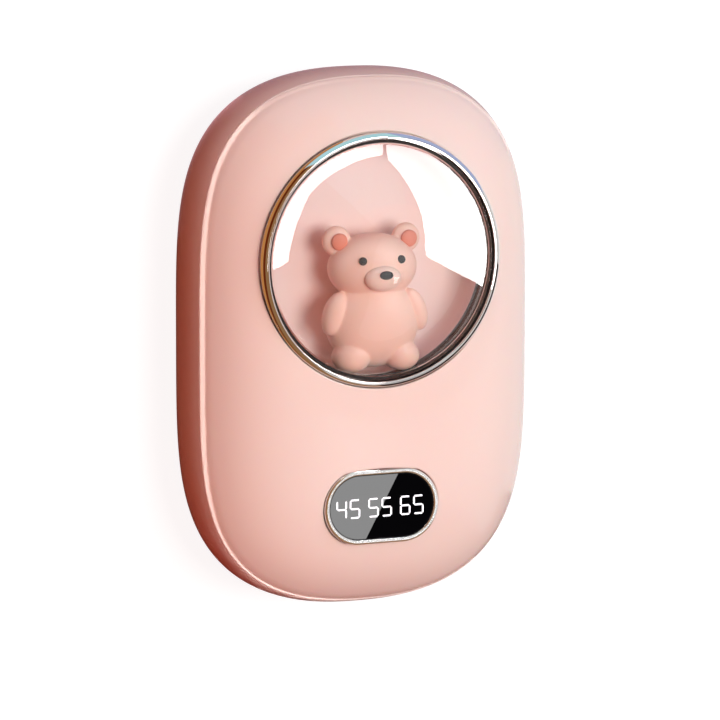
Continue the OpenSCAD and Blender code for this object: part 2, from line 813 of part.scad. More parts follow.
module battery_foam() {
    color("gray") translate([0, battery_y, foam_z]) linear_extrude(foam_t)
        round_rect(battery_w - 2 * foam_inset, battery_l - 2 * foam_inset, battery_round);
}

module battery_wires() {
    for (side = [-1, 1]) color(side > 0 ? "red" : "black") {
        x = header_x + side * wire_pitch / 2;
        z = terrace_z + terrace_t / 2;
        tube(curve([x, terrace_y, z], [x, terrace_y - wire_slack, z],
            [x, plug_y + wire_slack, plug_z], [x, plug_y, plug_z], wire_r), wire_r);
    }
}

module battery_header() {
    color("ivory") translate([header_x - header_w / 2, header_y, board_z - header_h]) difference() {
        cube([header_w, header_d, header_h]);
        translate([header_wall, header_wall, header_wall])
            cube([header_w - 2 * header_wall, header_d, header_h - 2 * header_wall]);
    }
}

module battery_plug() {
    inset = header_wall + fit;
    color("white") translate([header_x - header_w / 2 + inset, header_y + inset, board_z - header_h + inset])
        cube([header_w - 2 * inset, header_d + plug_out - inset, header_h - 2 * inset]);
}

module heat_plate() {
    color("lightgray") translate([0, 0, plate_z]) linear_extrude(plate_t) difference() {
        polygon(outline(plate_a, plate_b));
        at_bosses() circle(r = boss_foot_r + boss_gap);
        rib_places(boss_gap);
    }
}

module heating_film() {
    color("orange") translate([0, 0, film_z]) linear_extrude(film_t) difference() {
        polygon(outline(film_a, film_b));
        at_bosses() circle(r = boss_foot_r + 2 * boss_gap);
        rib_places(2 * boss_gap);
    }
}

module heater_wires() {
    color("white") for (side = [-1, 1]) {
        x = side * heater_wire_pitch / 2;
        end_y = heater_wire_y + wire_slack;
        tube(curve([x, heater_wire_y, foam_z], [x, heater_wire_y, foam_z + wire_slack],
            [x, end_y, board_z - wire_slack], [x, end_y, board_z], heater_wire_r), heater_wire_r);
    }
}

module thermistor() {
    color(dark) {
        translate([sensor_x - bead_len / 2, sensor_y, foam_z + sensor_r]) rotate([0, 90, 0])
            cylinder(r = sensor_r, h = bead_len, $fn = 24);
        for (side = [-1, 1])
            translate([sensor_x + side * sensor_lead_pitch / 2, sensor_y, foam_z + sensor_r])
                cylinder(r = sensor_lead_r, h = board_z - foam_z - sensor_r, $fn = 16);
    }
}

module control_chips() {
    color(dark) for (i = [0 : len(chip_place_shares) - 1]) {
        place = board_a * chip_place_shares[i];
        size = chip_w * chip_size_shares[i];
        translate([place[0] - size[0] / 2, display_y + place[1] - size[1] / 2, board_z - size[2]])
            cube(size);
    }
}

module power_inductor() {
    color("dimgray") translate([inductor_x, inductor_y, board_z - inductor_h]) {
        translate([-inductor_w / 2, -inductor_w / 2, inductor_h - inductor_base_h])
            cube([inductor_w, inductor_w, inductor_base_h]);
        cylinder(d = inductor_w - fit, h = inductor_h - inductor_base_h / 2);
    }
}

module capacitors() {
    color("tan") for (k = [0 : len(capacitor_counts) - 1], i = [0 : capacitor_counts[k] - 1]) {
        place = board_a * capacitor_place_shares[k];
        translate([place[0], display_y + place[1] + i * capacitor_step, board_z - capacitor_h])
            cube([capacitor_w, capacitor_l, capacitor_h]);
    }
}

module board_screws() {
    color("gray") at_bosses() translate([0, 0, board_top_z])
        screw(board_screw_r, board_t + board_screw_l - overrun);
}

module cup_screws() {
    color("gray") at_ears() translate([0, 0, ledge_z - ear_t]) mirror([0, 0, 1])
        screw(cup_screw_r, ear_t + cup_screw_bite - fit);
}

rear_shell();
front_shell();
capsule_cup();
capsule_dome();
dome_ring();
dome_gasket();
bear_figure();
bear_muzzle();
bear_ear_linings();
bear_eyes();
bear_nose();
display_bezel();
display_window();
display_module();
display_segments();
display_pins();
main_board();
usb_socket_shell();
usb_socket_tongue();
side_switch();
switch_plunger();
power_button();
battery_cell();
battery_foam();
battery_wires();
battery_header();
battery_plug();
heat_plate();
heating_film();
heater_wires();
thermistor();
control_chips();
power_inductor();
capacitors();
board_screws();
cup_screws();
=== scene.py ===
import math

import bmesh
import bpy
import numpy as np
from mathutils import Matrix, Vector


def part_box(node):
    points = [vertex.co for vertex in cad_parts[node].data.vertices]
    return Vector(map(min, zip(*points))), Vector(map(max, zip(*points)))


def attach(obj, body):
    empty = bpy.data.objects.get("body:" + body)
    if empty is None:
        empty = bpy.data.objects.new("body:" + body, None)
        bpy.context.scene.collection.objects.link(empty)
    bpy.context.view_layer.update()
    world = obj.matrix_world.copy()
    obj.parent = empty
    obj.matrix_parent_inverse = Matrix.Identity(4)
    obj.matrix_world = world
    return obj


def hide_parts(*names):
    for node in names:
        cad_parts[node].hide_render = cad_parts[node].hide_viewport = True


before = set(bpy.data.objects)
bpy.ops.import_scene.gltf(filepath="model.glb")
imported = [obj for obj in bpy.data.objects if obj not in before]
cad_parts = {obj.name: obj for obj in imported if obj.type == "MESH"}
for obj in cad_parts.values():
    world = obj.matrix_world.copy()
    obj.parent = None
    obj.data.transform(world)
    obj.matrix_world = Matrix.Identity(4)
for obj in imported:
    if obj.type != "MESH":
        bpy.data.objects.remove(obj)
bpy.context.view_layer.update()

metres = 0.001


# Small helpers

def linear(hexColour):
    # sRGB hex to linear red, green, blue and alpha
    parts = [int(hexColour[i:i + 2], 16) / 255 for i in (1, 3, 5)]
    return tuple(c / 12.92 if c <= 0.04045 else ((c + 0.055) / 1.055) ** 2.4 for c in parts) + (1.0,)


def socketOf(node, name):
    # An input by its name with spaces left out, or by its number after "in"
    if name[:2] == "in" and name[2:].isdigit():
        return node.inputs[int(name[2:])]
    return {s.name.replace(" ", ""): s for s in reversed(node.inputs)}[name.replace(" ", "")]


def addNode(tree, kind, settings=None, **links):
    # A node with its settings and with links into its inputs, from outputs or from the first output of a node
    node = tree.nodes.new("ShaderNode" + kind)
    for name, value in (settings or {}).items():
        if hasattr(node, name):
            setattr(node, name, value)
        else:
            socketOf(node, name).default_value = value
    for name, source in links.items():
        tree.links.new(getattr(source, "outputs", [source])[0], socketOf(node, name))
    return node


def newMaterial(name):
    made = bpy.data.materials.new(name)
    made.use_nodes = True
    made.node_tree.nodes.clear()
    return made, made.node_tree


def addToScene(name, data):
    made = bpy.data.objects.new(name, data)
    bpy.context.scene.collection.objects.link(made)
    return made


def gridQuads(rows, columns, closed=True):
    # Quads between the rows of a grid whose columns run round a closed loop, or from side to side
    i = np.arange(rows - 1)[:, None] * columns
    j = np.arange(columns if closed else columns - 1)[None, :]
    k = (j + 1) % columns
    return np.stack([i + j, i + k, i + columns + k, i + columns + j], axis=-1).reshape(-1, 4)


def smoothShade(mesh, sharp):
    mesh.polygons.foreach_set("use_smooth", np.ones(len(mesh.polygons), dtype=bool))
    mesh.set_sharp_from_angle(angle=math.radians(sharp))


def meshObject(name, grids, sharp=38, merge=0.0004):
    # One closed mesh from grids of points (rows, columns, 3), each closed round its columns, with doubles
    # merged and faces turned outwards. Edges that bend by more degrees than sharp stay sharp
    starts = np.cumsum([0] + [grid.shape[0] * grid.shape[1] for grid in grids])
    points = np.concatenate([grid.reshape(-1, 3) for grid in grids])
    quads = np.concatenate([gridQuads(*grid.shape[:2]) + start for grid, start in zip(grids, starts)])
    mesh = bpy.data.meshes.new(name)
    mesh.from_pydata((points * metres).tolist(), [], quads.tolist())
    shape = bmesh.new()
    shape.from_mesh(mesh)
    bmesh.ops.remove_doubles(shape, verts=shape.verts, dist=merge * metres)
    bmesh.ops.dissolve_degenerate(shape, edges=shape.edges, dist=merge * metres / 4)
    bmesh.ops.recalc_face_normals(shape, faces=shape.faces)
    shape.to_mesh(mesh)
    shape.free()
    smoothShade(mesh, sharp)
    return addToScene(name, mesh)


def applyModifiers(piece, sharp):
    evaluated = piece.evaluated_get(bpy.context.evaluated_depsgraph_get())
    piece.data = bpy.data.meshes.new_from_object(evaluated)
    piece.modifiers.clear()
    smoothShade(piece.data, sharp)


def finishPiece(piece, material, node, body="root"):
    piece.data.materials.clear()
    piece.data.materials.append(material)
    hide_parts(node)
    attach(piece, body)


def revolve(profile, centre, steps):
    # A closed profile of [radius, height] points turned about the Z axis through the centre
    radius, height = np.asarray(profile, float).T[..., None]
    angle = np.linspace(0, 2 * np.pi, steps, endpoint=False)
    x, y = centre[0] + radius * np.cos(angle), centre[1] + radius * np.sin(angle)
    return np.stack([x, y, height + 0 * x], axis=-1)


def pillSweep(profile, centre, halfLength, halfHeight, arcSteps, lineSteps):
    # A closed profile of [outward, height] points carried round a pill: half circle, line, half circle, line
    out, height = np.asarray(profile, float).T[..., None]
    right = np.linspace(-np.pi / 2, np.pi / 2, arcSteps + 1)
    left = np.linspace(np.pi / 2, 3 * np.pi / 2, arcSteps + 1)
    share = np.linspace(0, 1, lineSteps + 1)[1:-1]
    reach, radius = halfLength - halfHeight, halfHeight + out
    x = np.concatenate([reach + radius * np.cos(right), reach - 2 * reach * share + 0 * out,
                        -reach + radius * np.cos(left), -reach + 2 * reach * share + 0 * out], axis=1)
    y = np.concatenate([radius * np.sin(right), radius + 0 * share,
                        radius * np.sin(left), -radius + 0 * share], axis=1)
    return np.stack([centre[0] + x, centre[1] + y, height + 0 * x], axis=-1)


def arcPoints(centre, radius, start, end, steps):
    # Points [across, up] on an arc, angles in degrees
    angle = np.radians(np.linspace(start, end, steps + 1))
    return [[centre[0] + radius * math.cos(a), centre[1] + radius * math.sin(a)] for a in angle]


# Case: the same outline and profiles as the solids, drawn with many more points

case = dict(
    halfWidth=33.4, halfHeight=50.4, sidePower=2.39, endPower=4.0, waistPower=2.5,
    edgeZ=20.5, bulgeZ=13.2, bulge=1.6, crown=8.2, crownPower=4.4, wall=1.8,
    edgeRound=1.1, lapHeight=2.4, lapGap=0.12, cornerTurn=30.0, innerEdgeShare=0.03,
    seamGap=0.05, seamChamfer=0.08, holeFillet=0.3, splitY=-15.8, sharp=34, upperColumns=300,
    lowerColumns=150, faceRows=46, insideRows=8, ledgeWidth=0.4)
capsule = dict(
    y=16.4, seatZ=26.2, ringRadius=24.4, ringWidth=1.2, ringHeight=2.8, ringRound=0.88, ringNick=0.3,
    seatFit=0.12, ledgeZ=23.0, cupRadius=22.2, collar=2.4, foot=0.6, skirt=0.6, skirtGap=0.05,
    holeRadius=22.9)
display = dict(
    y=-31.0, halfLength=11.75, halfHeight=7.2, rim=0.98, rimRoundShare=0.42, seatZ=26.6, topZ=28.7, fit=0.1,
    holeInset=2.1, collar=1.4, collarDepth=1.4, windowZ=27.2, windowThickness=1.2, windowGap=0.01,
    windowEdge=0.06, spreadShare=0.42)

sideRadius = ((case["edgeZ"] - case["bulgeZ"]) ** 2 + case["bulge"] ** 2) / (2 * case["bulge"])
turnSine, turnCosine = math.sin(math.radians(case["cornerTurn"])), math.cos(math.radians(case["cornerTurn"]))
cornerRadius = (case["bulgeZ"] - sideRadius * turnSine) / (1 - turnSine)
cornerOut = case["bulge"] - sideRadius + (sideRadius - cornerRadius) * turnCosine
seamZ = case["edgeZ"] - case["edgeRound"]


def outlineAt(halfX, halfY, turn):
    # Superellipse |x/a|^p + |y/b|^q = 1
    c, s = np.cos(turn), np.sin(turn)
    x = halfX * np.sign(c) * np.abs(c) ** (2 / case["sidePower"])
    y = halfY * np.sign(s) * np.abs(s) ** (2 / case["endPower"])
    return x, y


def ringHalves(out):
    # Half sizes of the case's outline moved outwards; towards the middle of the face it closes to a point
    inward = np.maximum(-out, 0) / case["halfWidth"]
    spare = case["halfHeight"] - case["halfWidth"]
    return case["halfWidth"] + out, case["halfHeight"] + out - spare * inward ** case["waistPower"]


def sideProfile(z, depth):
    # The side wall's wide arc at a depth under the surface: [out, z]
    z = np.asarray(z, float)
    out = case["bulge"] - sideRadius + np.sqrt((sideRadius - depth) ** 2 - (z - case["bulgeZ"]) ** 2)
    return np.stack([out, z], axis=-1)


def sideArc(start, end, steps, depth):
    # The same arc between two angles over the horizon
    angle = np.radians(np.linspace(start, end, steps + 1))
    return sideProfile(case["bulgeZ"] + (sideRadius - depth) * np.sin(angle), depth)


def cornerArc(start, end, steps, depth):
    # The tighter arc from the side wall into the flat back, between two angles
    return np.array(arcPoints((cornerOut, cornerRadius), cornerRadius - depth, start, end, steps))


def faceProfile(u, depth):
    # The crowned face, u from 0 at its edge to 1 in its middle: height = crown * (1 - (1 - u)^power)
    power, crown, width = case["crownPower"], case["crown"], case["halfWidth"]
    slope = power * crown / width * (1 - u) ** (power - 1)
    length = np.sqrt(1 + slope ** 2)
    height = case["edgeZ"] + crown * (1 - (1 - u) ** power)
    return -width * u - depth * slope / length, height - depth / length


def faceHeight(x, y, depth, halvings=44, tiny=1e-6):
    # Height of the face over a point: the ring of the face that passes through it is found by halving
    low, high = np.zeros_like(x), np.ones_like(x)
    for _ in range(halvings):
        middle = (low + high) / 2
        halfX, halfY = ringHalves(faceProfile(middle, depth)[0])
        inside = (np.abs(x) / np.maximum(halfX, tiny)) ** case["sidePower"] \
            + (np.abs(y) / np.maximum(halfY, tiny)) ** case["endPower"] < 1
        low, high = np.where(inside, middle, low), np.where(inside, high, middle)
    return faceProfile((low + high) / 2, depth)[1]


def evenTurns(start, end, count, samples=20001):
    # Angles between two given ones that divide the outline into equal lengths
    turn = np.linspace(start, end, samples)
    x, y = outlineAt(case["halfWidth"], case["halfHeight"], turn)
    length = np.concatenate([[0], np.cumsum(np.hypot(np.diff(x), np.diff(y)))])
    return np.interp(np.linspace(0, length[-1], count), length, turn)


edgeShare = case["edgeRound"] / case["halfWidth"]
edgeOut = float(faceProfile(edgeShare, 0)[0])
innerOut = float(faceProfile(case["innerEdgeShare"], case["wall"])[0])
splitSine = (abs(case["splitY"]) / float(ringHalves(np.float64(edgeOut))[1])) ** (case["endPower"] / 2)
splitTurn = math.asin(splitSine)
upperTurns = evenTurns(-splitTurn, math.pi + splitTurn, case["upperColumns"])
lowerTurns = evenTurns(math.pi + splitTurn, 2 * math.pi - splitTurn, case["lowerColumns"])
rimTurns = np.concatenate([upperTurns, lowerTurns[1:-1]])


def rimRows(profile):
    # The outline carried through the [out, z] points of a profile
    out, z = np.asarray(profile, float).T[..., None]
    x, y = outlineAt(case["halfWidth"] + out, case["halfHeight"] + out, rimTurns)
    return np.stack([x, y, z + 0 * x], axis=-1)


def sheetLoop(turns, out, splitColumns=90):
    # Part of the rim closed by the straight split line between the two halves of the face: x and y
    x, y = outlineAt(*ringHalves(np.float64(out)), turns)
    across = np.linspace(x[-1], x[0], splitColumns)[1:-1]
    return np.concatenate([x, across]), np.concatenate([y, np.full_like(across, y[0])])


def sheetRows(loop, hole, depth, distances, steps, fillet, crowding=0.35):
    # Rows from a hole's edge out to the loop: first at set distances from the hole, then ever wider apart
    gapX, gapY = loop[0] - hole[0], loop[1] - hole[1]
    length = np.hypot(gapX, gapY)
    share = np.linspace(0, 1, steps + 1)[1:, None]
    last = distances[-1]
    along = np.concatenate([np.repeat(np.asarray(distances)[:, None], len(length), axis=1),
                            last + (length - last) * share * (1 + crowding * (1 - share))])
    x, y = hole[0] + gapX / length * along, hole[1] + gapY / length * along
    z = faceHeight(x, y, depth)
    if fillet:  # a quarter circle rounds the edge of the hole
        near = np.clip(fillet - along, 0, fillet)
        z = z - (fillet - np.sqrt(np.maximum(fillet ** 2 - near ** 2, 0)))
    return np.stack([x, y, z], axis=-1)


def ringHole(loop, radius):
    # Points on a circle round the capsule, each towards its point of the loop
    away = np.hypot(loop[0], loop[1] - capsule["y"])
    return loop[0] / away * radius, capsule["y"] + (loop[1] - capsule["y"]) / away * radius


def pillHole(loop, offset):
    # Points on a pill round the display, each towards its point of the loop
    reach = display["halfLength"] - display["halfHeight"]
    baseX = np.clip(loop[0] * display["spreadShare"], -reach, reach)
    away = np.hypot(loop[0] - baseX, loop[1] - display["y"])
    radius = display["halfHeight"] + offset
    return baseX + (loop[0] - baseX) / away * radius, display["y"] + (loop[1] - display["y"]) / away * radius


def flatRow(loop, z):
    return np.stack([*loop, np.full_like(loop[0], z)], axis=-1)[None]


def faceCover():
    # Front cover: sheets round the capsule and the display, the rounded edge, the lap tongue and the inside
    fillet, wall = case["holeFillet"], case["wall"]
    nearHole = [fillet * share for share in (*(1 - np.cos(np.linspace(0, np.pi / 2, 6))), 1.6, 2.6)]
    capsuleHole = dict(edge=capsule["ringRadius"] + capsule["seatFit"], bore=capsule["holeRadius"],
                       collar=capsule["ringRadius"] + capsule["collar"], seat=capsule["seatZ"],
                       floor=capsule["ledgeZ"])
    displayHole = dict(edge=display["fit"], bore=-display["holeInset"], collar=display["collar"],
                       seat=display["seatZ"], floor=display["seatZ"] - display["collarDepth"])
    grids = []
    for turns, hole, sizes in ((upperTurns, ringHole, capsuleHole), (lowerTurns, pillHole, displayHole)):
        loop, insideLoop = sheetLoop(turns, edgeOut), sheetLoop(turns, innerOut)
        edge, bore, collar = [hole(loop, sizes[part]) for part in ("edge", "bore", "collar")]
        inside = sheetRows(insideLoop, collar, wall, [0.0, case["ledgeWidth"]], case["insideRows"], 0)
        outside = sheetRows(loop, edge, 0, nearHole, case["faceRows"], fillet)
        grids.append(np.concatenate([
            inside[::-1], flatRow(collar, sizes["floor"]), flatRow(bore, sizes["floor"]),
            flatRow(bore, sizes["seat"]), flatRow(edge, sizes["seat"]), outside]))
    # The rounded edge is a curve drawn in by the corner between the wall and the face
    start, corner = sideProfile(seamZ, 0), np.array([0, case["edgeZ"]])
    end = np.array(faceProfile(edgeShare, 0))
    k = np.linspace(0, 1, 13)[:, None]
    rounded = (1 - k) ** 2 * start + 2 * k * (1 - k) * corner + k ** 2 * end
    lift, nick = case["seamGap"], case["seamChamfer"]
    rounded[0] += [0, lift + nick]
    low, tongue = seamZ - case["lapHeight"], wall / 2 + case["lapGap"]
    rim = rimRows([
        np.array(faceProfile(case["innerEdgeShare"], wall)), sideProfile(seamZ, wall), sideProfile(low, wall),
        sideProfile(low, tongue), sideProfile(seamZ + lift, tongue), sideProfile(seamZ + lift, 0) - [nick, 0],
        *rounded])
    for row, out in ((0, innerOut), (-1, edgeOut)):  # the two borders that the sheets share
        rim[row, :, 0], rim[row, :, 1] = outlineAt(*ringHalves(np.float64(out)), rimTurns)
    return meshObject("case_front", [*grids, rim], case["sharp"])


def backTub():
    # Rear tub: the flat back, the corner and side wall, the rebate at its mouth and the inside
    lift, nick, wall, turn = case["seamGap"], case["seamChamfer"], case["wall"], case["cornerTurn"]
    lapFloor = seamZ - case["lapHeight"] - case["lapGap"]
    rows = rimRows([
        *cornerArc(-90, -turn, 25, 0), *sideArc(-turn, 0, 13, 0)[1:],
        *sideProfile(np.linspace(case["bulgeZ"], seamZ - lift - nick, 16)[1:], 0),
        sideProfile(seamZ - lift, 0) - [nick, 0], sideProfile(seamZ - lift, wall / 2),
        sideProfile(lapFloor, wall / 2), sideProfile(lapFloor, wall),
        *sideArc(10, -turn, 9, wall), *cornerArc(-turn, -90, 11, wall)[1:]])
    shares = np.linspace(0, 1, 9)[:, None, None]
    floorMiddle = np.array([0, 0, wall])
    under, floor = rows[0] * shares, floorMiddle + (rows[-1] - floorMiddle) * shares
    grid = np.concatenate([under[:-1], rows, floor[::-1][1:]])
    grid[..., 1] = np.maximum(grid[..., 1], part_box("rear_shell")[0][1] / metres)  # not past the solid's end
    return meshObject("case_back", [grid], case["sharp"])


# Openings in the side wall, and the power key in one of them

socket = dict(z=13.2, length=8.94, height=3.26, gap=0.2)
key = dict(y=-26.0, z=13.2, length=11.0, height=5.0, gap=0.15, proud=0.3, edge=0.45, flangeX=30.34,
           flange=0.9, rim=1.1, stemRadius=1.5, stemLength=1.0, stemRoot=0.2)
cutter = dict(outside=4.0, socketDepth=2.2, keyDepth=0.2)


def cutHole(tub, name, hole, start, end, axes, place):
    # Cuts a pill, as wide as the hole with its gap, through the side wall between two distances
    grid = pillSweep([[0, start], [0, end]], (0, 0), hole["length"] / 2 + hole["gap"],
                     hole["height"] / 2 + hole["gap"], 32, 8)
    middle = grid.mean(axis=1, keepdims=True)
    grid = np.concatenate([middle[:1] + 0 * grid[:1], grid, middle[1:] + 0 * grid[1:]])
    pill = meshObject(name, [grid[..., axes] + place])
    cut = tub.modifiers.new(name, "BOOLEAN")
    cut.object, cut.operation, cut.solver = pill, "DIFFERENCE", "EXACT"
    applyModifiers(tub, case["sharp"])
    bpy.data.objects.remove(pill)


def wallX(y, z):
    # Outer surface of the right-hand side wall over a point (y, z): the superellipse solved for x
    out = sideProfile(z, 0)[..., 0]
    return (case["halfWidth"] + out) * (1 - (np.abs(y) / (case["halfHeight"] + out)) ** case["endPower"]) \
        ** (1 / case["sidePower"])


def powerKey():
    # The key in the side wall: its top follows the wall, with a rounded edge, a flange and a stem behind
    halfLength, halfHeight, edge = key["length"] / 2, key["height"] / 2, key["edge"]
    inset = [[-halfHeight * share, 0] for share in (1.0, 0.75, 0.5, 0.3)]
    top = pillSweep(inset + arcPoints((-edge, edge), edge, -90, 0, 6), (0, 0), halfLength, halfHeight, 32, 16)
    y, z = top[..., 0] + key["y"], top[..., 1] + key["z"]
    cap = np.stack([wallX(y, z) + key["proud"] - top[..., 2], y, z], axis=-1)
    middle, front, back = (key["y"], key["z"]), key["flangeX"], key["flangeX"] - key["flange"]
    root, end, radius = back + key["stemRoot"], back - key["stemLength"], key["stemRadius"]
    skirt = pillSweep([[0, front], [key["rim"], front], [key["rim"], back], [-halfHeight, back]],
                      middle, halfLength, halfHeight, 32, 16)
    stem = revolve([[0, root], [radius, root], [radius, end], [0, end]], middle, 48)
    toWall = [2, 0, 1]  # their height lies along X
    grids = [np.concatenate([cap, skirt[..., toWall]]), stem[..., toWall]]
    return meshObject("power_key", grids, case["sharp"])


# Capsule

dome = dict(radius=23.1, rise=8.599, wall=1.4, rim=0.7, z=27.1)
cup = dict(floorZ=16.9, wall=1.3, corner=4.0)
seal = dict(height=0.3, overlap=0.2, nick=0.1)
ribs = dict(count=6, depth=0.06, halfHeight=0.16, below=0.25, above=0.45, backDrop=0.6, endGap=0.1)
domeBall = (dome["radius"] ** 2 + dome["rise"] ** 2) / (2 * dome["rise"])
domeMiddle = dome["z"] + dome["rim"] + dome["rise"] - domeBall


def turnedPiece(name, profile, steps, sharp=30):
    # A closed half profile of [radius, height] points turned about the capsule's axis
    return meshObject(name, [revolve(profile, (0, capsule["y"]), steps)], sharp)


def clearDome():
    # Half profile of the dome: a ball's cap over a short upright rim, hollow by its wall
    tilt = math.degrees(math.asin(dome["radius"] / domeBall))
    inside, low = domeBall - dome["wall"], dome["z"]
    innerTilt = math.degrees(math.asin((low - domeMiddle) / inside))
    inner = arcPoints((0, domeMiddle), inside, 90, innerTilt, 60)
    outer = arcPoints((0, domeMiddle), domeBall, 90 - tilt, 90, 60)
    return turnedPiece("clear_dome", inner + [[dome["radius"], low]] + outer, 240)


def capsuleCup():
    # Half profile of the recess, with a rounded corner inside and out
    radius, floor, wall, corner = capsule["cupRadius"], cup["floorZ"], cup["wall"], cup["corner"]
    top, middle = capsule["ledgeZ"], (radius - corner, floor + corner)
    inside = [[0, floor]] + arcPoints(middle, corner, -90, 0, 16) + [[radius, top]]
    outside = [[radius + wall, top]] + arcPoints(middle, corner + wall, 0, -90, 12) + [[0, floor - wall]]
    return turnedPiece("capsule_recess", inside + outside, 200, 38)


def chromeRing():
    # Half profile of the ring: a wide round outside edge, an upright inside wall and a foot on the seat
    low, outer, inner = capsule["seatZ"], capsule["ringRadius"], capsule["ringRadius"] - capsule["ringWidth"]
    top, rounding, nick = low + capsule["ringHeight"], capsule["ringRound"], capsule["ringNick"]
    foot, footInner = low + capsule["foot"], capsule["cupRadius"] + capsule["skirt"] + capsule["skirtGap"]
    profile = [[outer, low]] + arcPoints((outer - rounding, top - rounding), rounding, 0, 90, 24)
    profile += arcPoints((inner + nick, top - nick), nick, 90, 180, 10)
    profile += [[inner, foot], [footInner, foot], [footInner, low], [outer, low]]
    return turnedPiece("chrome_ring", profile, 300)


def ringSkirt():
    # Half profile of the ring's skirt, which lines the hole down to the cup, with fine ribs round its inside
    inner, foot = capsule["cupRadius"], capsule["seatZ"] + capsule["foot"]
    end = capsule["ledgeZ"] + ribs["endGap"]
    outer, root, half = inner + capsule["skirt"], inner + ribs["depth"], ribs["halfHeight"]
    lip, back = outer + capsule["skirtGap"], foot - ribs["backDrop"]
    profile = [[lip, foot], [root, foot]]
    for height in np.linspace(foot - ribs["below"], end + ribs["above"], ribs["count"]):
        profile += [[root, height + half], [inner, height], [root, height - half]]
    profile += [[root, end], [outer, end], [outer, back], [lip, back], [lip, foot]]
    return turnedPiece("ring_skirt", profile, 300)


def ringSeal():
    # Flat rubber seal under the dome's rim, with its inner corners taken off
    low, nick = capsule["seatZ"] + capsule["foot"], seal["nick"]
    high, inner, outer = low + seal["height"], capsule["cupRadius"] - seal["overlap"], dome["radius"]
    profile = [[inner + nick, low], [outer, low], [outer, high], [inner + nick, high], [inner, high - nick],
               [inner, low + nick], [inner + nick, low]]
    return turnedPiece("ring_seal", profile, 240)


# Display

digits = dict(height=3.75, widthShare=0.58, strokeShare=0.088, shiftX=-0.36, shiftY=-0.16, stepShare=1.26,
              pairShare=3.03, gap=0.1, proud=0.02, depth=0.15, shown="455565",
              lit={"4": "bcfg", "5": "acdfg", "6": "acdefg"})


def pillPiece(name, profile, inset, arcSteps, lineSteps, sharp=30):
    # A closed profile carried round the display's pill, made smaller by the inset
    size = display["halfLength"] - inset, display["halfHeight"] - inset
    return meshObject(name, [pillSweep(profile, (0, display["y"]), *size, arcSteps, lineSteps)], sharp)


def bezelFrame():
    # Profile of the frame: two rounded edges on top, and a ledge inside that carries the window
    low, top, rim, hole = display["seatZ"], display["topZ"], display["rim"], display["holeInset"]
    rounding, ledge = rim * display["rimRoundShare"], display["windowZ"]
    profile = [[0, low]] + arcPoints((-rounding, top - rounding), rounding, 0, 90, 8)
    profile += arcPoints((-rim + rounding, top - rounding), rounding, 90, 180, 8)
    profile += [[-rim, ledge], [-hole, ledge], [-hole, low], [0, low]]
    return pillPiece("bezel_frame", profile, 0, 72, 20)


def windowPane():
    # Profile of the pane: flat, with a finely rounded upper edge
    inset = display["rim"] + display["windowGap"]
    middle = display["halfHeight"] - inset
    low, edge = display["windowZ"], display["windowEdge"]
    top = low + display["windowThickness"]
    profile = [[-middle, low], [0, low]] + arcPoints((-edge, top - edge), edge, 0, 90, 6)
    profile += [[-edge - 0.04, top], [-edge - 0.3, top], [-middle, top]]  # two rings hold the shading flat
    return pillPiece("display_pane", profile, inset, 56, 16)


def litNumbers():
    # Bars of the numbers that are lit, each a six-sided prism with pointed ends
    height = digits["height"]
    width, stroke = height * digits["widthShare"], height * digits["strokeShare"]
    reach, across, half = (height - stroke) / 2, width - stroke, stroke / 2
    places = {"a": (0, reach, 0), "g": (0, 0, 0), "d": (0, -reach, 0),
              "f": (-across / 2, reach / 2, 1), "b": (across / 2, reach / 2, 1),
              "e": (-across / 2, -reach / 2, 1), "c": (across / 2, -reach / 2, 1)}
    top = display["windowZ"] + display["windowThickness"] + digits["proud"]
    low = top - digits["depth"]
    grids = []
    for number, shown in enumerate(digits["shown"]):
        pair, place = divmod(number, 2)
        middle = (pair - 1) * width * digits["pairShare"] + (place - 0.5) * width * digits["stepShare"]
        for bar in digits["lit"][shown]:
            x, y, upright = places[bar]
            end = ((reach if upright else across) - digits["gap"]) / 2
            outline = np.array([[-end, 0], [half - end, half], [end - half, half],
                                [end, 0], [end - half, -half], [half - end, -half]])
            if upright:
                outline = outline[:, ::-1] * [1, -1]
            outline = outline + [middle + x + digits["shiftX"], y + display["y"] + digits["shiftY"]]
            centre = outline.mean(axis=0) + 0 * outline
            rows = [(centre, low), (outline, low), (outline, top), (centre, top)]
            grids.append(np.array([np.column_stack([flat, np.full(6, z)]) for flat, z in rows]))
    return meshObject("lit_numbers", grids, 20, 0.0001)


# Toy bear: rounded lumps melted into one moulded figure. Shares are of the body's or the head's size

bear = dict(
    body=(18.5, 17.0, 11.6), back=17.2, footGap=0.3, voxel=0.2, smooth=6, bodyRise=0.36, headRise=0.62,
    foot=(0.4, 0.34, 0.62), footX=0.27, footZ=0.14, head=(0.96, 0.76, 0.98), arm=(0.25, 0.5, 0.38),
    armPlace=(0.44, 0.13, 0.12), armLean=20, ear=(0.32, 0.3), earPlace=(0.4, 0.4, -0.05), lining=(0.58, 0.4),
    muzzle=(0.42, 0.38, 0.34), muzzlePlace=(0, -0.12, 0.45), nose=(0.36, 0.34, 0.36),
    nosePlace=(0, 0.16, 0.48), eyePlace=(0.22, 0.14), eyeRadius=0.045)


def lump(centre, size, lean=0, steps=32):
    # An ellipsoid as a grid of latitude and longitude, leaned about the Z axis
    up = np.linspace(-np.pi / 2, np.pi / 2, steps)[:, None]
    around = np.linspace(0, 2 * np.pi, 2 * steps, endpoint=False)[None, :]
    x = size[0] / 2 * np.cos(up) * np.cos(around)
    y = size[1] / 2 * np.cos(up) * np.sin(around)
    z = size[2] / 2 * np.sin(up) + 0 * x
    c, s = math.cos(math.radians(lean)), math.sin(math.radians(lean))
    return np.stack([centre[0] + c * x - s * y, centre[1] + s * x + c * y, centre[2] + z], axis=-1)


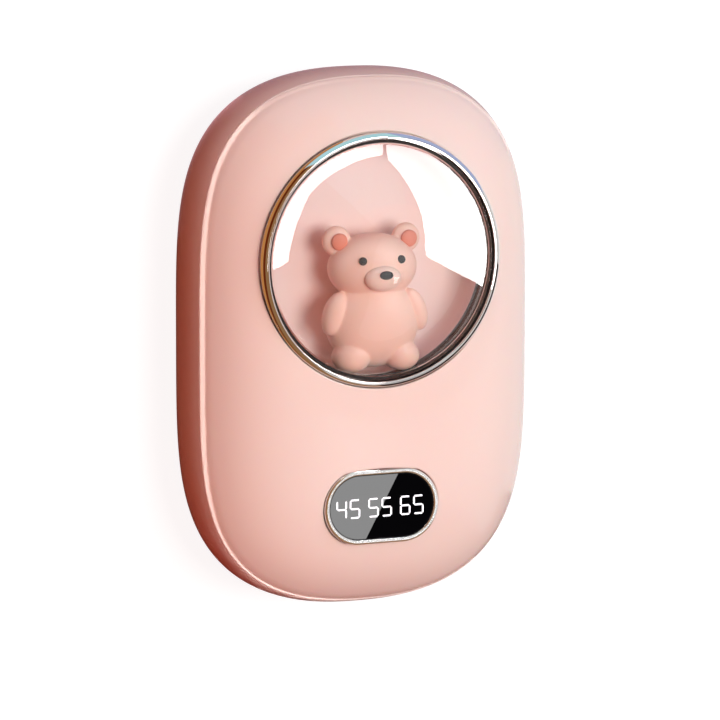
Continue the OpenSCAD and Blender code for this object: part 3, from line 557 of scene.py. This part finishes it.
bodySize = np.array(bear["body"])
footSize, headSize = bodySize * bear["foot"], bodySize * bear["head"]
footX = bodySize[0] * bear["footX"]
footY = capsule["y"] - math.sqrt(capsule["cupRadius"] ** 2 - footX ** 2) + footSize[1] / 2 + bear["footGap"]
body = np.array([0, footY + bodySize[1] * bear["bodyRise"], bear["back"] + bodySize[2] / 2])
head = body + [0, bodySize[1] * bear["headRise"], 0]
earWide, earDeep = headSize[0] * bear["ear"][0], headSize[2] * bear["ear"][1]
muzzleSize = headSize * bear["muzzle"]
muzzle = head + headSize * bear["muzzlePlace"]


def onBothSides(centre):
    # A place on the right and its mirror image, with the sign of its side
    return [(side, np.array(centre) * [side, 1, 1]) for side in (-1, 1)]


def melt(name, lumps, voxel, smooth):
    # Overlapping lumps turned into one skin, then smoothed so that the creases between them soften
    piece = meshObject(name, lumps)
    skin = piece.modifiers.new("skin", "REMESH")
    skin.mode, skin.voxel_size, skin.use_smooth_shade = "VOXEL", voxel * metres, True
    soften = piece.modifiers.new("soften", "SMOOTH")
    soften.factor, soften.iterations = 0.5, smooth
    applyModifiers(piece, 180)
    return piece


def bearFigure():
    # Body, head, ears, arms and feet
    ears = onBothSides(head + headSize * bear["earPlace"])
    arms = onBothSides(body + bodySize * bear["armPlace"])
    feet = onBothSides((footX, footY, body[2] + bodySize[2] * bear["footZ"]))
    lumps = [lump(body, bodySize), lump(head, headSize)]
    for (side, ear), (_, arm), (_, foot) in zip(ears, arms, feet):
        lumps += [lump(ear, (earWide, earWide, earDeep)),
                  lump(arm, bodySize * bear["arm"], side * bear["armLean"]), lump(foot, footSize)]
    return melt("toy_bear", lumps, bear["voxel"], bear["smooth"])


def bearParts():
    # Ear linings, muzzle, nose and eyes. An eye's middle lies on the head's ellipsoid
    ear = head + headSize * bear["earPlace"] + [0, 0, earDeep / 2]
    liningSize = (earWide * bear["lining"][0], earWide * bear["lining"][0], earDeep * bear["lining"][1])
    eyeX, eyeY = headSize[0] * bear["eyePlace"][0], headSize[1] * bear["eyePlace"][1]
    eyeRise = headSize[2] / 2 * math.sqrt(1 - (2 * eyeX / headSize[0]) ** 2 - (2 * eyeY / headSize[1]) ** 2)
    eyeSize = 2 * headSize[0] * bear["eyeRadius"] * np.ones(3)
    linings = [lump(place, liningSize, 0, 20) for _, place in onBothSides(ear)]
    eyes = [lump(place, eyeSize, 0, 20) for _, place in onBothSides(head + [eyeX, eyeY, eyeRise])]
    nose = [lump(muzzle + muzzleSize * bear["nosePlace"], muzzleSize * bear["nose"], 0, 20)]
    return [(meshObject(name, lumps), slot, node) for name, lumps, slot, node in (
        ("toy_ear_linings", linings, "toy_coral", "bear_ear_linings"),
        ("toy_muzzle", [lump(muzzle, muzzleSize)], "toy_muzzle", "bear_muzzle"),
        ("toy_nose", nose, "toy_dark", "bear_nose"),
        ("toy_eyes", eyes, "toy_dark", "bear_eyes"))]


# Materials

def perMetre(sizeMm):
    # The scale at which a pattern repeats about once in a size
    return 1 / (sizeMm * metres)


def finishSurface(tree, values, toneShare, reliefShare, reliefMm):
    # What all the surfaces share: one pattern mixes two colours, another sets the gloss and the relief
    tone = addNode(tree, "MixRGB", {"Color1": linear(values["colour"]), "Color2": linear(values["drift"])},
                   Fac=toneShare)
    low, high = values["roughness"]
    gloss = addNode(tree, "MapRange", {"To Min": low, "To Max": high}, Value=reliefShare)
    bump = addNode(tree, "Bump", {"Strength": values["bump"], "Distance": reliefMm * metres},
                   Height=reliefShare)
    shader = addNode(tree, "BsdfPrincipled", values["shader"], BaseColor=tone,
                     Roughness=gloss, Normal=bump)
    addNode(tree, "OutputMaterial", {}, Surface=shader)


def objectCoordinates(tree):
    return addNode(tree, "TexCoord").outputs["Object"]


def mouldedPlastic(name, values):
    # Injection-moulded plastic: a colour that drifts a little, a fine spark-eroded grain and a satin gloss
    made, tree = newMaterial(name)
    place = objectCoordinates(tree)
    drift = addNode(tree, "TexNoise", {"Scale": perMetre(values["driftMm"]), "Detail": 3.0}, Vector=place)
    grain = addNode(tree, "TexNoise", {"Scale": perMetre(values["grainMm"]), "Detail": 2.0}, Vector=place)
    finishSurface(tree, values, drift.outputs["Fac"], grain.outputs["Fac"], reliefMm=values["grainMm"] * 0.1)
    return made


def glowing(weight, scaleMm, radius):
    # Light goes a little way into the plastic, reddest furthest
    return {"IOR": 1.46, "Subsurface Weight": weight, "Subsurface Scale": scaleMm * metres,
            "Subsurface Radius": radius}


# Satin pink ABS from a polished mould: soft broad highlights that sharpen along the edge of the case
satinAbs = mouldedPlastic("satin_moulded_abs", dict(
    colour="#F8DCD3", drift="#F7D9CF", driftMm=30, grainMm=0.35, bump=0.04, roughness=(0.16, 0.2),
    shader={**glowing(0.12, 2.0, (1.0, 0.25, 0.12)), "Specular IOR Level": 0.4}))
# Matt pink ABS from an etched mould: an even, deeper pink with no highlight behind the toy
recessAbs = mouldedPlastic("recess_moulded_abs", dict(
    colour="#FBD9D4", drift="#F8D4CF", driftMm=16, grainMm=0.35, bump=0.05, roughness=(0.42, 0.5),
    shader=glowing(0.1, 1.5, (1.0, 0.3, 0.15))))
# Slush-moulded vinyl: soft and warm, with light that bleeds through ears and feet
toyVinyl = mouldedPlastic("toy_vinyl", dict(
    colour="#FFCDBD", drift="#FCC7B6", driftMm=9, grainMm=0.3, bump=0.05, roughness=(0.46, 0.55),
    shader=glowing(0.25, 1.6, (1.0, 0.3, 0.15))))
# The same vinyl, a shade paler
muzzleVinyl = mouldedPlastic("muzzle_vinyl", dict(
    colour="#FBD2C4", drift="#F8CCBD", driftMm=6, grainMm=0.3, bump=0.05, roughness=(0.46, 0.55),
    shader=glowing(0.25, 1.6, (1.0, 0.3, 0.15))))
# Sprayed coral paint: flat and slightly uneven in the ears
coralPaint = mouldedPlastic("coral_paint", dict(
    colour="#F08D75", drift="#EA8168", driftMm=3, grainMm=0.25, bump=0.05, roughness=(0.4, 0.5),
    shader={"IOR": 1.48}))
# Dipped black gloss paint: a small bright point on each eye
blackPaint = mouldedPlastic("black_gloss_paint", dict(
    colour="#2A2A2C", drift="#222224", driftMm=2, grainMm=0.2, bump=0.02, roughness=(0.12, 0.18),
    shader={"IOR": 1.5}))
# Polished black PMMA: a mirror over black
blackPane = mouldedPlastic("black_polished_pmma", dict(
    colour="#050507", drift="#08080A", driftMm=8, grainMm=0.4, bump=0.0, roughness=(0.0, 0.006),
    shader={"IOR": 1.49}))
# Pressed silicone rubber: a dull dark line under the dome
siliconeRubber = mouldedPlastic("black_silicone_rubber", dict(
    colour="#1E1715", drift="#261C19", driftMm=5, grainMm=0.2, bump=0.1, roughness=(0.55, 0.7),
    shader={"IOR": 1.41}))


def platedMetal(name, values):
    # Bright plating over a smooth part: a slow orange-peel wave and faint wiping marks in the gloss
    made, tree = newMaterial(name)
    wave = addNode(tree, "TexNoise", {"Scale": perMetre(values["waveMm"]), "Detail": 2.0},
                   Vector=objectCoordinates(tree))
    share = wave.outputs["Fac"]
    finishSurface(tree, {**values, "shader": {"Metallic": 1.0}}, share, share, reliefMm=0.01)
    return made


# Chrome on polished ABS: a sharp mirror that takes the colours round it
chrome = platedMetal("chrome_plating", dict(
    colour="#E6E1DF", drift="#DDD6D3", waveMm=6, bump=0.004, roughness=(0.015, 0.03)))
# Satin chrome: an even silver line round the display
bezelChrome = platedMetal("satin_chrome_plating", dict(
    colour="#FAF9F8", drift="#F5F3F1", waveMm=6, bump=0.004, roughness=(0.2, 0.24)))
# Chrome coloured dark brown: painted shade on the ring's skirt, deep in the hole under the ring, with small
# glints from its gloss
chromeWithPaintedShade = platedMetal("chrome_with_painted_shade", dict(
    colour="#3A2520", drift="#2E1D19", waveMm=3, bump=0.004, roughness=(0.12, 0.18)))


def clearAcrylic():
    # Clear injection-moulded acrylic, polished. Shadow rays pass, so that what is under it is lit
    made, tree = newMaterial("clear_acrylic")
    haze = addNode(tree, "TexNoise", {"Scale": perMetre(6), "Detail": 2.0}, Vector=objectCoordinates(tree))
    gloss = addNode(tree, "MapRange", {"To Min": 0.0, "To Max": 0.012}, Value=haze.outputs["Fac"])
    shader = addNode(tree, "BsdfPrincipled", {
        "Base Color": (1, 1, 1, 1), "IOR": 1.49, "Transmission Weight": 1.0}, Roughness=gloss)
    passing = addNode(tree, "BsdfTransparent", {"Color": (0.98, 0.98, 0.98, 1)})
    ray = addNode(tree, "LightPath")
    both = addNode(tree, "MixShader", {}, Fac=ray.outputs["Is Shadow Ray"], in1=shader,
                   in2=passing)
    addNode(tree, "OutputMaterial", {}, Surface=both)
    return made


def litSegment():
    # Light-emitting bars behind a diffuser: white that drifts at random towards a faint blue-white
    made, tree = newMaterial("lit_segment")
    glow = addNode(tree, "TexNoise", {"Scale": perMetre(1.2), "Detail": 1.0}, Vector=objectCoordinates(tree))
    tone = addNode(tree, "MixRGB", {"Color1": linear("#FFFFFF"), "Color2": linear("#F4F6FF")},
                   Fac=glow.outputs["Fac"])
    shader = addNode(tree, "BsdfPrincipled", {"Roughness": 0.4, "Emission Strength": 0.75},
                     BaseColor=tone, EmissionColor=tone)
    addNode(tree, "OutputMaterial", {}, Surface=shader)
    return made


def patterned(name, values):
    # A surface whose colours, gloss and relief follow one pattern, drawn out along an axis if it was rolled
    made, tree = newMaterial(name)
    place = addNode(tree, "Mapping", {"Scale": values.get("stretch", (1.0, 1.0, 1.0))},
                    Vector=objectCoordinates(tree))
    settings = {**values.get("settings", {}), "Scale": perMetre(values["sizeMm"])}
    pattern = addNode(tree, values["pattern"], settings, Vector=place)
    share = pattern.outputs[values.get("output", "Fac")]
    finishSurface(tree, values, share, share, values["reliefMm"])
    return made


# Parts inside the case: plain moulded plastics
blackAbs = mouldedPlastic("black_moulded_abs", dict(
    colour="#0E0E0F", drift="#151516", driftMm=4, grainMm=0.15, bump=0.15, roughness=(0.45, 0.6),
    shader={"IOR": 1.5}))
naturalNylon = mouldedPlastic("natural_moulded_nylon", dict(
    colour="#E2DDCF", drift="#D9D2C1", driftMm=3, grainMm=0.15, bump=0.1, roughness=(0.38, 0.5),
    shader={"IOR": 1.53}))
redSilicone = mouldedPlastic("red_extruded_silicone", dict(
    colour="#B4170F", drift="#A0120C", driftMm=5, grainMm=0.2, bump=0.08, roughness=(0.4, 0.52),
    shader={"IOR": 1.41}))
blackEpoxy = mouldedPlastic("black_transfer_moulded_epoxy", dict(
    colour="#101011", drift="#1A1A1C", driftMm=1.5, grainMm=0.08, bump=0.2, roughness=(0.55, 0.7),
    shader={"IOR": 1.55}))
ceramicChip = mouldedPlastic("fired_barium_titanate_ceramic", dict(
    colour="#B0895A", drift="#9C7647", driftMm=0.8, grainMm=0.08, bump=0.1, roughness=(0.4, 0.55),
    shader={"IOR": 1.6}))
# Plated metals: bright nickel, gold flash and blue-white zinc
nickelSteel = platedMetal("nickel_plated_stamped_steel", dict(
    colour="#C2C0BC", drift="#AFADA8", waveMm=1.5, bump=0.05, roughness=(0.2, 0.32)))
goldPins = platedMetal("gold_flashed_brass", dict(
    colour="#D2AC5E", drift="#C09A4C", waveMm=1.0, bump=0.03, roughness=(0.2, 0.3)))
zincSteel = platedMetal("zinc_plated_cold_headed_steel", dict(
    colour="#B9BEC4", drift="#A3A8AF", waveMm=0.6, bump=0.08, roughness=(0.26, 0.4)))
# Copper tracks show through the green solder mask as paler bars about 0.6 mm wide
solderMask = patterned("green_solder_mask_on_glass_epoxy", dict(
    pattern="TexBrick", settings={
        "Color1": (1, 1, 1, 1), "Color2": (1, 1, 1, 1), "Mortar": (0, 0, 0, 1), "Mortar Size": 0.12,
        "Brick Width": 3.2, "Row Height": 0.9},
    sizeMm=0.9, colour="#0D3D1E", drift="#1C6A36", roughness=(0.25, 0.38), bump=0.2, reliefMm=0.03,
    shader={"IOR": 1.55}))
# Aluminium foil laminated in nylon: soft creases a few millimetres apart
pouchFoil = patterned("laminated_aluminium_pouch", dict(
    pattern="TexNoise", settings={"Detail": 3.0}, sizeMm=5, colour="#C9CACD", drift="#B2B4B9",
    roughness=(0.28, 0.4), bump=0.4, reliefMm=0.15, shader={"Metallic": 1.0}))
# Cold-rolled sheet: fine lines along its length
rolledAluminium = patterned("cold_rolled_aluminium", dict(
    pattern="TexNoise", settings={"Detail": 4.0}, sizeMm=0.4, stretch=(1.0, 0.03, 1.0), colour="#D3D4D6",
    drift="#BDBFC2", roughness=(0.25, 0.42), bump=0.15, reliefMm=0.01, shader={"Metallic": 1.0}))
# Amber polyimide over an etched track whose bars lie 3 mm apart
heaterFilm = patterned("etched_polyimide_heater_film", dict(
    pattern="TexWave", settings={"wave_type": "BANDS", "bands_direction": "X", "Distortion": 0.0}, sizeMm=9.4,
    colour="#6E3B14", drift="#C77A26", roughness=(0.16, 0.3), bump=0.3, reliefMm=0.04, shader={"IOR": 1.7}))
# Open cells about 0.7 mm wide
openCellFoam = patterned("open_cell_foam", dict(
    pattern="TexVoronoi", output="Distance", sizeMm=0.7, colour="#0B0B0C", drift="#2B2B2D",
    roughness=(0.85, 1.0), bump=0.8, reliefMm=0.3, shader={"IOR": 1.45}))
# Pressed and sintered ferrite: a dull grey grain
sinteredFerrite = patterned("sintered_ferrite", dict(
    pattern="TexVoronoi", output="Distance", sizeMm=0.2, colour="#2A2A2C", drift="#3B3B3E",
    roughness=(0.6, 0.75), bump=0.3, reliefMm=0.03, shader={"IOR": 1.9}))

solidFinishes = dict(
    display_module=blackAbs, display_pins=goldPins, main_board=solderMask, usb_socket_shell=nickelSteel,
    usb_socket_tongue=blackAbs, side_switch=blackAbs, switch_plunger=naturalNylon, battery_cell=pouchFoil,
    battery_foam=openCellFoam, battery_wires=redSilicone, battery_header=naturalNylon,
    battery_plug=naturalNylon, heat_plate=rolledAluminium, heating_film=heaterFilm,
    heater_wires=redSilicone, thermistor=blackEpoxy, control_chips=blackEpoxy,
    power_inductor=sinteredFerrite, capacitors=ceramicChip, board_screws=zincSteel, cup_screws=zincSteel)


# Build

print("inside")
for node, material in solidFinishes.items():
    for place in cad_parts[node].material_slots:
        place.material = material

print("case")
finishPiece(faceCover(), satinAbs, "front_shell")
back = backTub()
cutHole(back, "socket_cut", socket, -case["halfHeight"] - cutter["outside"],
        -case["halfHeight"] + cutter["socketDepth"], [0, 2, 1], (0, 0, socket["z"]))
cutHole(back, "key_cut", key, key["flangeX"] - cutter["keyDepth"], case["halfWidth"] + cutter["outside"],
        [2, 0, 1], (0, key["y"], key["z"]))
finishPiece(back, satinAbs, "rear_shell")
finishPiece(powerKey(), satinAbs, "power_button", "button")

print("capsule")
finishPiece(clearDome(), clearAcrylic(), "capsule_dome")
finishPiece(capsuleCup(), recessAbs, "capsule_cup")
finishPiece(chromeRing(), chrome, "dome_ring")
# The ring's skirt takes the chrome painted dark brown: painted shade deep in the ring
finishPiece(ringSkirt(), chromeWithPaintedShade, "dome_ring")
finishPiece(ringSeal(), siliconeRubber, "dome_gasket")

print("display")
finishPiece(bezelFrame(), bezelChrome, "display_bezel")
finishPiece(windowPane(), blackPane, "display_window")
finishPiece(litNumbers(), litSegment(), "display_segments")

print("bear")
finishPiece(bearFigure(), toyVinyl, "bear_figure")
toyPaints = {"toy_coral": coralPaint, "toy_muzzle": muzzleVinyl, "toy_dark": blackPaint}
for piece, slot, node in bearParts():
    finishPiece(piece, toyPaints[slot], node)


# Stage, lamps and camera

view = dict(target=(-1.289, -3.794, 20.5), away=(-0.38315, 0.16022, 0.90968), distance=966.4, lens=252.14,
            sensor=36.0, roll=0.15)
stage = dict(bounce="#8A5A4C", paper="#808080", white=0.9, fill="#FF4A30", fillStrength=0.004, floorZ=-0.02,
             floorHalf=3000)
lampDistance, lampAim = 1000, (0, 0, 20)
lamps = dict(
    main=((0.20, 0.12, 0.97), 500, 8.0, "#F7FFFA"), right=((0.70, 0.10, 0.70), 500, 2.6, "#DCF4FF"),
    upper_right=((0.50, 0.60, 0.62), 500, 0.45, "#6A84FF"), top=((0.0, 0.93, 0.36), 400, 0.9, "#E0CCFF"),
    upper_left=((-0.50, 0.60, 0.62), 500, 1.25, "#FFC494"), left=((-0.97, 0.0, 0.22), 400, 0.6, "#FF2A14"),
    left_high=((-0.50, 0.00, 0.87), 500, 0.75, "#FF3414"),
    lower_left=((-0.50, -0.60, 0.62), 500, 0.5, "#FF2010"), bottom=((0.0, -0.80, 0.60), 500, 1.1, "#FF3010"))
viewAway = np.array(view["away"]) / np.linalg.norm(view["away"])
eye = np.array(view["target"]) + viewAway * view["distance"]


def makeCamera():
    data = bpy.data.cameras.new("camera")
    data.lens, data.sensor_width = view["lens"], view["sensor"]
    camera = addToScene("camera", data)
    away = Vector(view["away"]).normalized()
    right = Vector((0, 1, 0)).cross(away).normalized()
    turn = Matrix((right, away.cross(right), away)).transposed().to_4x4()
    turn = turn @ Matrix.Rotation(math.radians(view["roll"]), 4, "Z")
    camera.matrix_world = Matrix.Translation(Vector(eye) * metres) @ turn
    bpy.context.scene.camera = camera


def softBox(name, direction, size, watts, colour):
    # A square soft box that faces the middle of the object
    data = bpy.data.lights.new(name, "AREA")
    data.shape, data.size = "SQUARE", size * metres
    data.energy, data.color = watts, linear(colour)[:3]
    made = addToScene(name, data)
    away = Vector(direction).normalized()
    made.matrix_world = Matrix.Translation((Vector(lampAim) + away * lampDistance) * metres) \
        @ away.to_track_quat("Z", "Y").to_matrix().to_4x4()
    made.visible_glossy = made.visible_transmission = False


def beforeMatt(tree, ray):
    # 1 until a ray has met a matt surface, so that what it lights up doesn't brighten the object
    return addNode(tree, "Math", {"operation": "LESS_THAN", "in1": 0.5},
                   in0=ray.outputs["Diffuse Depth"])


def seesBackground(tree):
    # 1 for the camera, mirrors and clear pieces, 0 for light that has left a matt surface
    ray = addNode(tree, "LightPath")
    mirror = addNode(tree, "Math", {"operation": "MAXIMUM"}, in0=ray.outputs["Is Glossy Ray"],
                     in1=ray.outputs["Is Transmission Ray"])
    kept = addNode(tree, "Math", {"operation": "MULTIPLY"}, in0=mirror, in1=beforeMatt(tree, ray))
    return addNode(tree, "Math", {"operation": "MAXIMUM"}, in0=ray.outputs["Is Camera Ray"],
                   in1=kept)


def makeFloor(values):
    # White paper for the camera and for mirrors, with the shadow on it; dull red-brown to light that bounces
    mesh = bpy.data.meshes.new("floor")
    half = values["floorHalf"]
    corners = np.array([[-half, -half], [half, -half], [half, half], [-half, half]])
    corners = np.column_stack([corners, np.full(4, values["floorZ"])])
    mesh.from_pydata((corners * metres).tolist(), [], [(0, 1, 2, 3)])
    floor = addToScene("floor", mesh)
    made, tree = newMaterial("pale_paper")
    lit = addNode(tree, "BsdfDiffuse", {"Color": linear(values["bounce"])})
    paper = addNode(tree, "BsdfDiffuse", {"Color": linear(values["paper"])})
    white = addNode(tree, "Emission", {"Strength": values["white"]})
    both = addNode(tree, "AddShader", {}, in0=paper, in1=white)
    mixed = addNode(tree, "MixShader", {}, Fac=seesBackground(tree), in1=lit, in2=both)
    addNode(tree, "OutputMaterial", {}, Surface=mixed)
    mesh.materials.append(made)


def makeWorld(values):
    # White for the camera and for mirrors, a very dim warm fill for matt surfaces
    world = bpy.data.worlds.new("world")
    bpy.context.scene.world = world
    world.use_nodes = True
    tree = world.node_tree
    tree.nodes.clear()
    dim = addNode(tree, "Background", {"Color": linear(values["fill"]), "Strength": values["fillStrength"]})
    white = addNode(tree, "Background", {"Strength": 1.0})
    mixed = addNode(tree, "MixShader", {}, Fac=seesBackground(tree), in1=dim, in2=white)
    addNode(tree, "OutputWorld", {}, Surface=mixed)


def card(name, rows, colour, strength, fade=None):
    # A sheet from rows of points that only mirrors see: it shapes the reflections and lights nothing else.
    # With a fade its strength falls from one X to another, down to the last value
    rows = np.asarray(rows, float)
    mesh = bpy.data.meshes.new(name)
    quads = gridQuads(*rows.shape[:2], closed=False)
    mesh.from_pydata((rows.reshape(-1, 3) * metres).tolist(), [], quads.tolist())
    made = addToScene(name, mesh)
    glow, tree = newMaterial(name)
    ray = addNode(tree, "LightPath")
    power = addNode(tree, "Math", {"operation": "MULTIPLY", "in1": strength}, in0=beforeMatt(tree, ray))
    if fade:
        place = addNode(tree, "SeparateXYZ", {}, Vector=objectCoordinates(tree))
        share = addNode(tree, "MapRange", {
            "interpolation_type": "SMOOTHSTEP", "From Min": fade[0] * metres, "From Max": fade[1] * metres,
            "To Min": 1.0, "To Max": fade[2] / strength}, Value=place.outputs["X"])
        power = addNode(tree, "Math", {"operation": "MULTIPLY"}, in0=power, in1=share)
    light = addNode(tree, "Emission", {"Color": linear(colour)}, Strength=power)
    addNode(tree, "OutputMaterial", {}, Surface=light)
    mesh.materials.append(glow)
    made.visible_camera = made.visible_diffuse = made.visible_transmission = made.visible_shadow = False


def roundCard(name, turns, low, high, radius, colour, strength, columns=140):
    # An upright card bent round the capsule's axis, from a low height up to heights given at some azimuths
    order = np.argsort(turns)
    fine = np.linspace(np.min(turns), np.max(turns), columns)
    x, y = radius * np.cos(np.radians(fine)), capsule["y"] + radius * np.sin(np.radians(fine))
    tops = np.interp(fine, np.take(turns, order), np.take(high, order))
    card(name, [np.stack([x, y, height + 0 * x], axis=-1) for height in (low, tops)], colour, strength)


def domeCard(name, border, low, radius, colour, strength):
    # A card whose reflection in the dome ends along a border of [x, y] points from the dome's middle. There
    # the camera's ray is mirrored, ray - 2 (ray . normal) normal, and followed out to the card's radius
    x, y = np.transpose(border)
    normal = np.stack([x, y, np.sqrt(domeBall ** 2 - x ** 2 - y ** 2)], axis=-1) / domeBall
    spot = normal * domeBall + [0, capsule["y"], domeMiddle]
    ray = (spot - eye) / np.linalg.norm(spot - eye, axis=-1, keepdims=True)
    ray = ray - 2 * (ray * normal).sum(axis=-1, keepdims=True) * normal
    square, cross = ray[:, 0] ** 2 + ray[:, 1] ** 2, x * ray[:, 0] + y * ray[:, 1]
    reach = (np.sqrt(cross ** 2 - square * (x ** 2 + y ** 2 - radius ** 2)) - cross) / square
    turns = np.degrees(np.unwrap(np.arctan2(y + reach * ray[:, 1], x + reach * ray[:, 0])))
    roundCard(name, turns, low, spot[:, 2] + reach * ray[:, 2], radius, colour, strength)


def creaseSheet(name, start, end, tilts, reaches, colour, strength, fade=None, drop=0.3, endTilt=6):
    # A sheet placed by the crease of the case: from each point of it, the camera's ray is mirrored by a
    # normal with each tilt above the ground, and a row of the sheet lies at its reach along that ray
    turns = evenTurns(math.radians(start), math.radians(end), 60)
    half = np.array([case["halfWidth"], case["halfHeight"]])
    power = np.array([case["sidePower"], case["endPower"]])
    spot = np.column_stack(outlineAt(*half, turns))
    slope = np.sign(spot) * np.abs(spot / half) ** (power - 1) * power / half
    slope = slope / np.linalg.norm(slope, axis=-1, keepdims=True)
    lower = np.maximum(-spot[:, 1] / half[1], 0) ** 2  # grows towards the lower end
    crease = np.column_stack([spot, np.full(len(spot), case["edgeZ"] - drop)])
    rows = []
    for tilt, reach in zip(tilts, reaches):
        tilt = np.radians(tilt - endTilt * lower)[:, None]
        normal = np.concatenate([slope * np.cos(tilt), np.sin(tilt)], axis=1)
        rows.append(crease + reach * (2 * (normal @ viewAway)[:, None] * normal - viewAway))
    card(name, rows, colour, strength, fade)


def collarSheet(name, start, end, gap, outerRadius, lift, colour, strength):
    # A sheet just over the face, round the ring, between two azimuths: it colours the ring's outside
    turn = np.radians(np.linspace(start, end, 60))
    radius = np.linspace(capsule["ringRadius"] + gap, outerRadius, 8)[:, None]
    x, y = radius * np.cos(turn), capsule["y"] + radius * np.sin(turn)
    card(name, np.stack([x, y, faceHeight(x, y, 0) + lift], axis=-1), colour, strength)


def floorSheet(name, start, end, colour, strength, fade=None, low=-8, high=220, lift=0.5):
    # A sheet just over the floor, between two distances from the case's outline
    turns = evenTurns(math.radians(start), math.radians(end), 40)
    outlines = [outlineAt(case["halfWidth"] + out, case["halfHeight"] + out, turns) for out in (low, high)]
    card(name, [np.stack([x, y, 0 * x + lift], axis=-1) for x, y in outlines], colour, strength, fade)


makeCamera()
makeFloor(stage)
makeWorld(stage)
for name, values in lamps.items():
    softBox(name, *values)

# Soft box and strip that the dome mirrors. They stand over the ring, so that the ring and the case hardly
# mirror them, and a dark flag keeps the horizon out of the dome's lower right part
boxBorder = [(0.5, 22.0), (0.1, 19.5), (1.7, 17.6), (2.7, 15.8), (3.8, 13.6), (4.7, 11.1), (5.3, 8.7),
             (5.5, 6.5), (5.5, 3.7), (5.7, 1.6), (8.9, -0.2), (12.5, -2.1), (18.0, -4.7), (20.2, -5.9)]
stripBorder = [(-0.8, 20.3), (-4.5, 19.8), (-8.6, 18.4), (-12.7, 16.1), (-15.5, 13.6), (-17.5, 9.9),
               (-19.2, 5.2), (-20.0, 1.1), (-21.5, -0.1), (-22.4, -0.5)]
domeCard("dome_box", boxBorder, 29.04, 23.25, "#FFFFFF", 16.0)
domeCard("dome_strip", stripBorder, 29.04, 23.7, "#FFFFFF", 14.0)
roundCard("dome_flag", [-85, -6], 28.6, [38, 38], 31.0, "#33211D", 1.0)
# What the crease and the ring mirror: a bright strip, a hood that hides it from the ring, coloured sheets
stripReaches = (12.5, 12.5)
topTilts, topReaches = (39.5, 39.5, 50, 62, 70, 78, 86), (3.2, 12.7, 18, 26, 34, 44, 54)
creaseSheet("crease_strip", 168, 310, (25, 37), stripReaches, "#FFEEE4", 17.0, (-36, 9, 2.6))
creaseSheet("crease_strip_corner", 120, 168, (27, 37), stripReaches, "#FFF0E8", 18.0, (-34, -22, 5.0))
creaseSheet("crease_strip_top", 30, 120, (29, 37), stripReaches, "#FFF0E8", 5.0, (-18, 6, 2.6))
creaseSheet("hood_left", 128, 336, (39.5, 39.5, 50, 62), (3.2, 12.7, 18, 26), "#6E2E10", 1.0)
creaseSheet("hood_left_high", 128, 318, (62, 70, 78, 86, 94), (26, 34, 42, 52, 62), "#9C7650", 1.0)
creaseSheet("hood_top", 84, 128, topTilts, topReaches, "#BEF0FA", 1.0)
creaseSheet("hood_top_right", 30, 84, topTilts, topReaches, "#B4C4EC", 1.0)
collarSheet("ring_collar", 108, 292, 0.2, 30.5, 0.12, "#C8894E", 1.0)
# A dim red-brown sheet by the case's left and lower side: painted shade that stands for the floor's shadow
# where the side wall mirrors the floor
floorSheet("floor_painted_shade", 172, 330, "#7A4034", 0.4)
floorSheet("floor_corner", 120, 172, "#C8949C", 1.4, (-22, -37, 0.12))
floorSheet("floor_top", 30, 120, "#C8A4B0", 0.8)
# What the flat window mirrors: a bright card with a slanted edge before a black one
card("window_card", [[(200.4, -111.1, 480), (165, -105, 480)], [(183.6, -142.1, 480), (165, -147, 480)]],
     "#FFFFFF", 6.5)
card("window_back", [[(150, -160, 500), (240, -160, 500)], [(150, -85, 500), (240, -85, 500)]],
     "#000000", 0.0)

bpy.context.scene.view_settings.view_transform = "Standard"
print("finish")
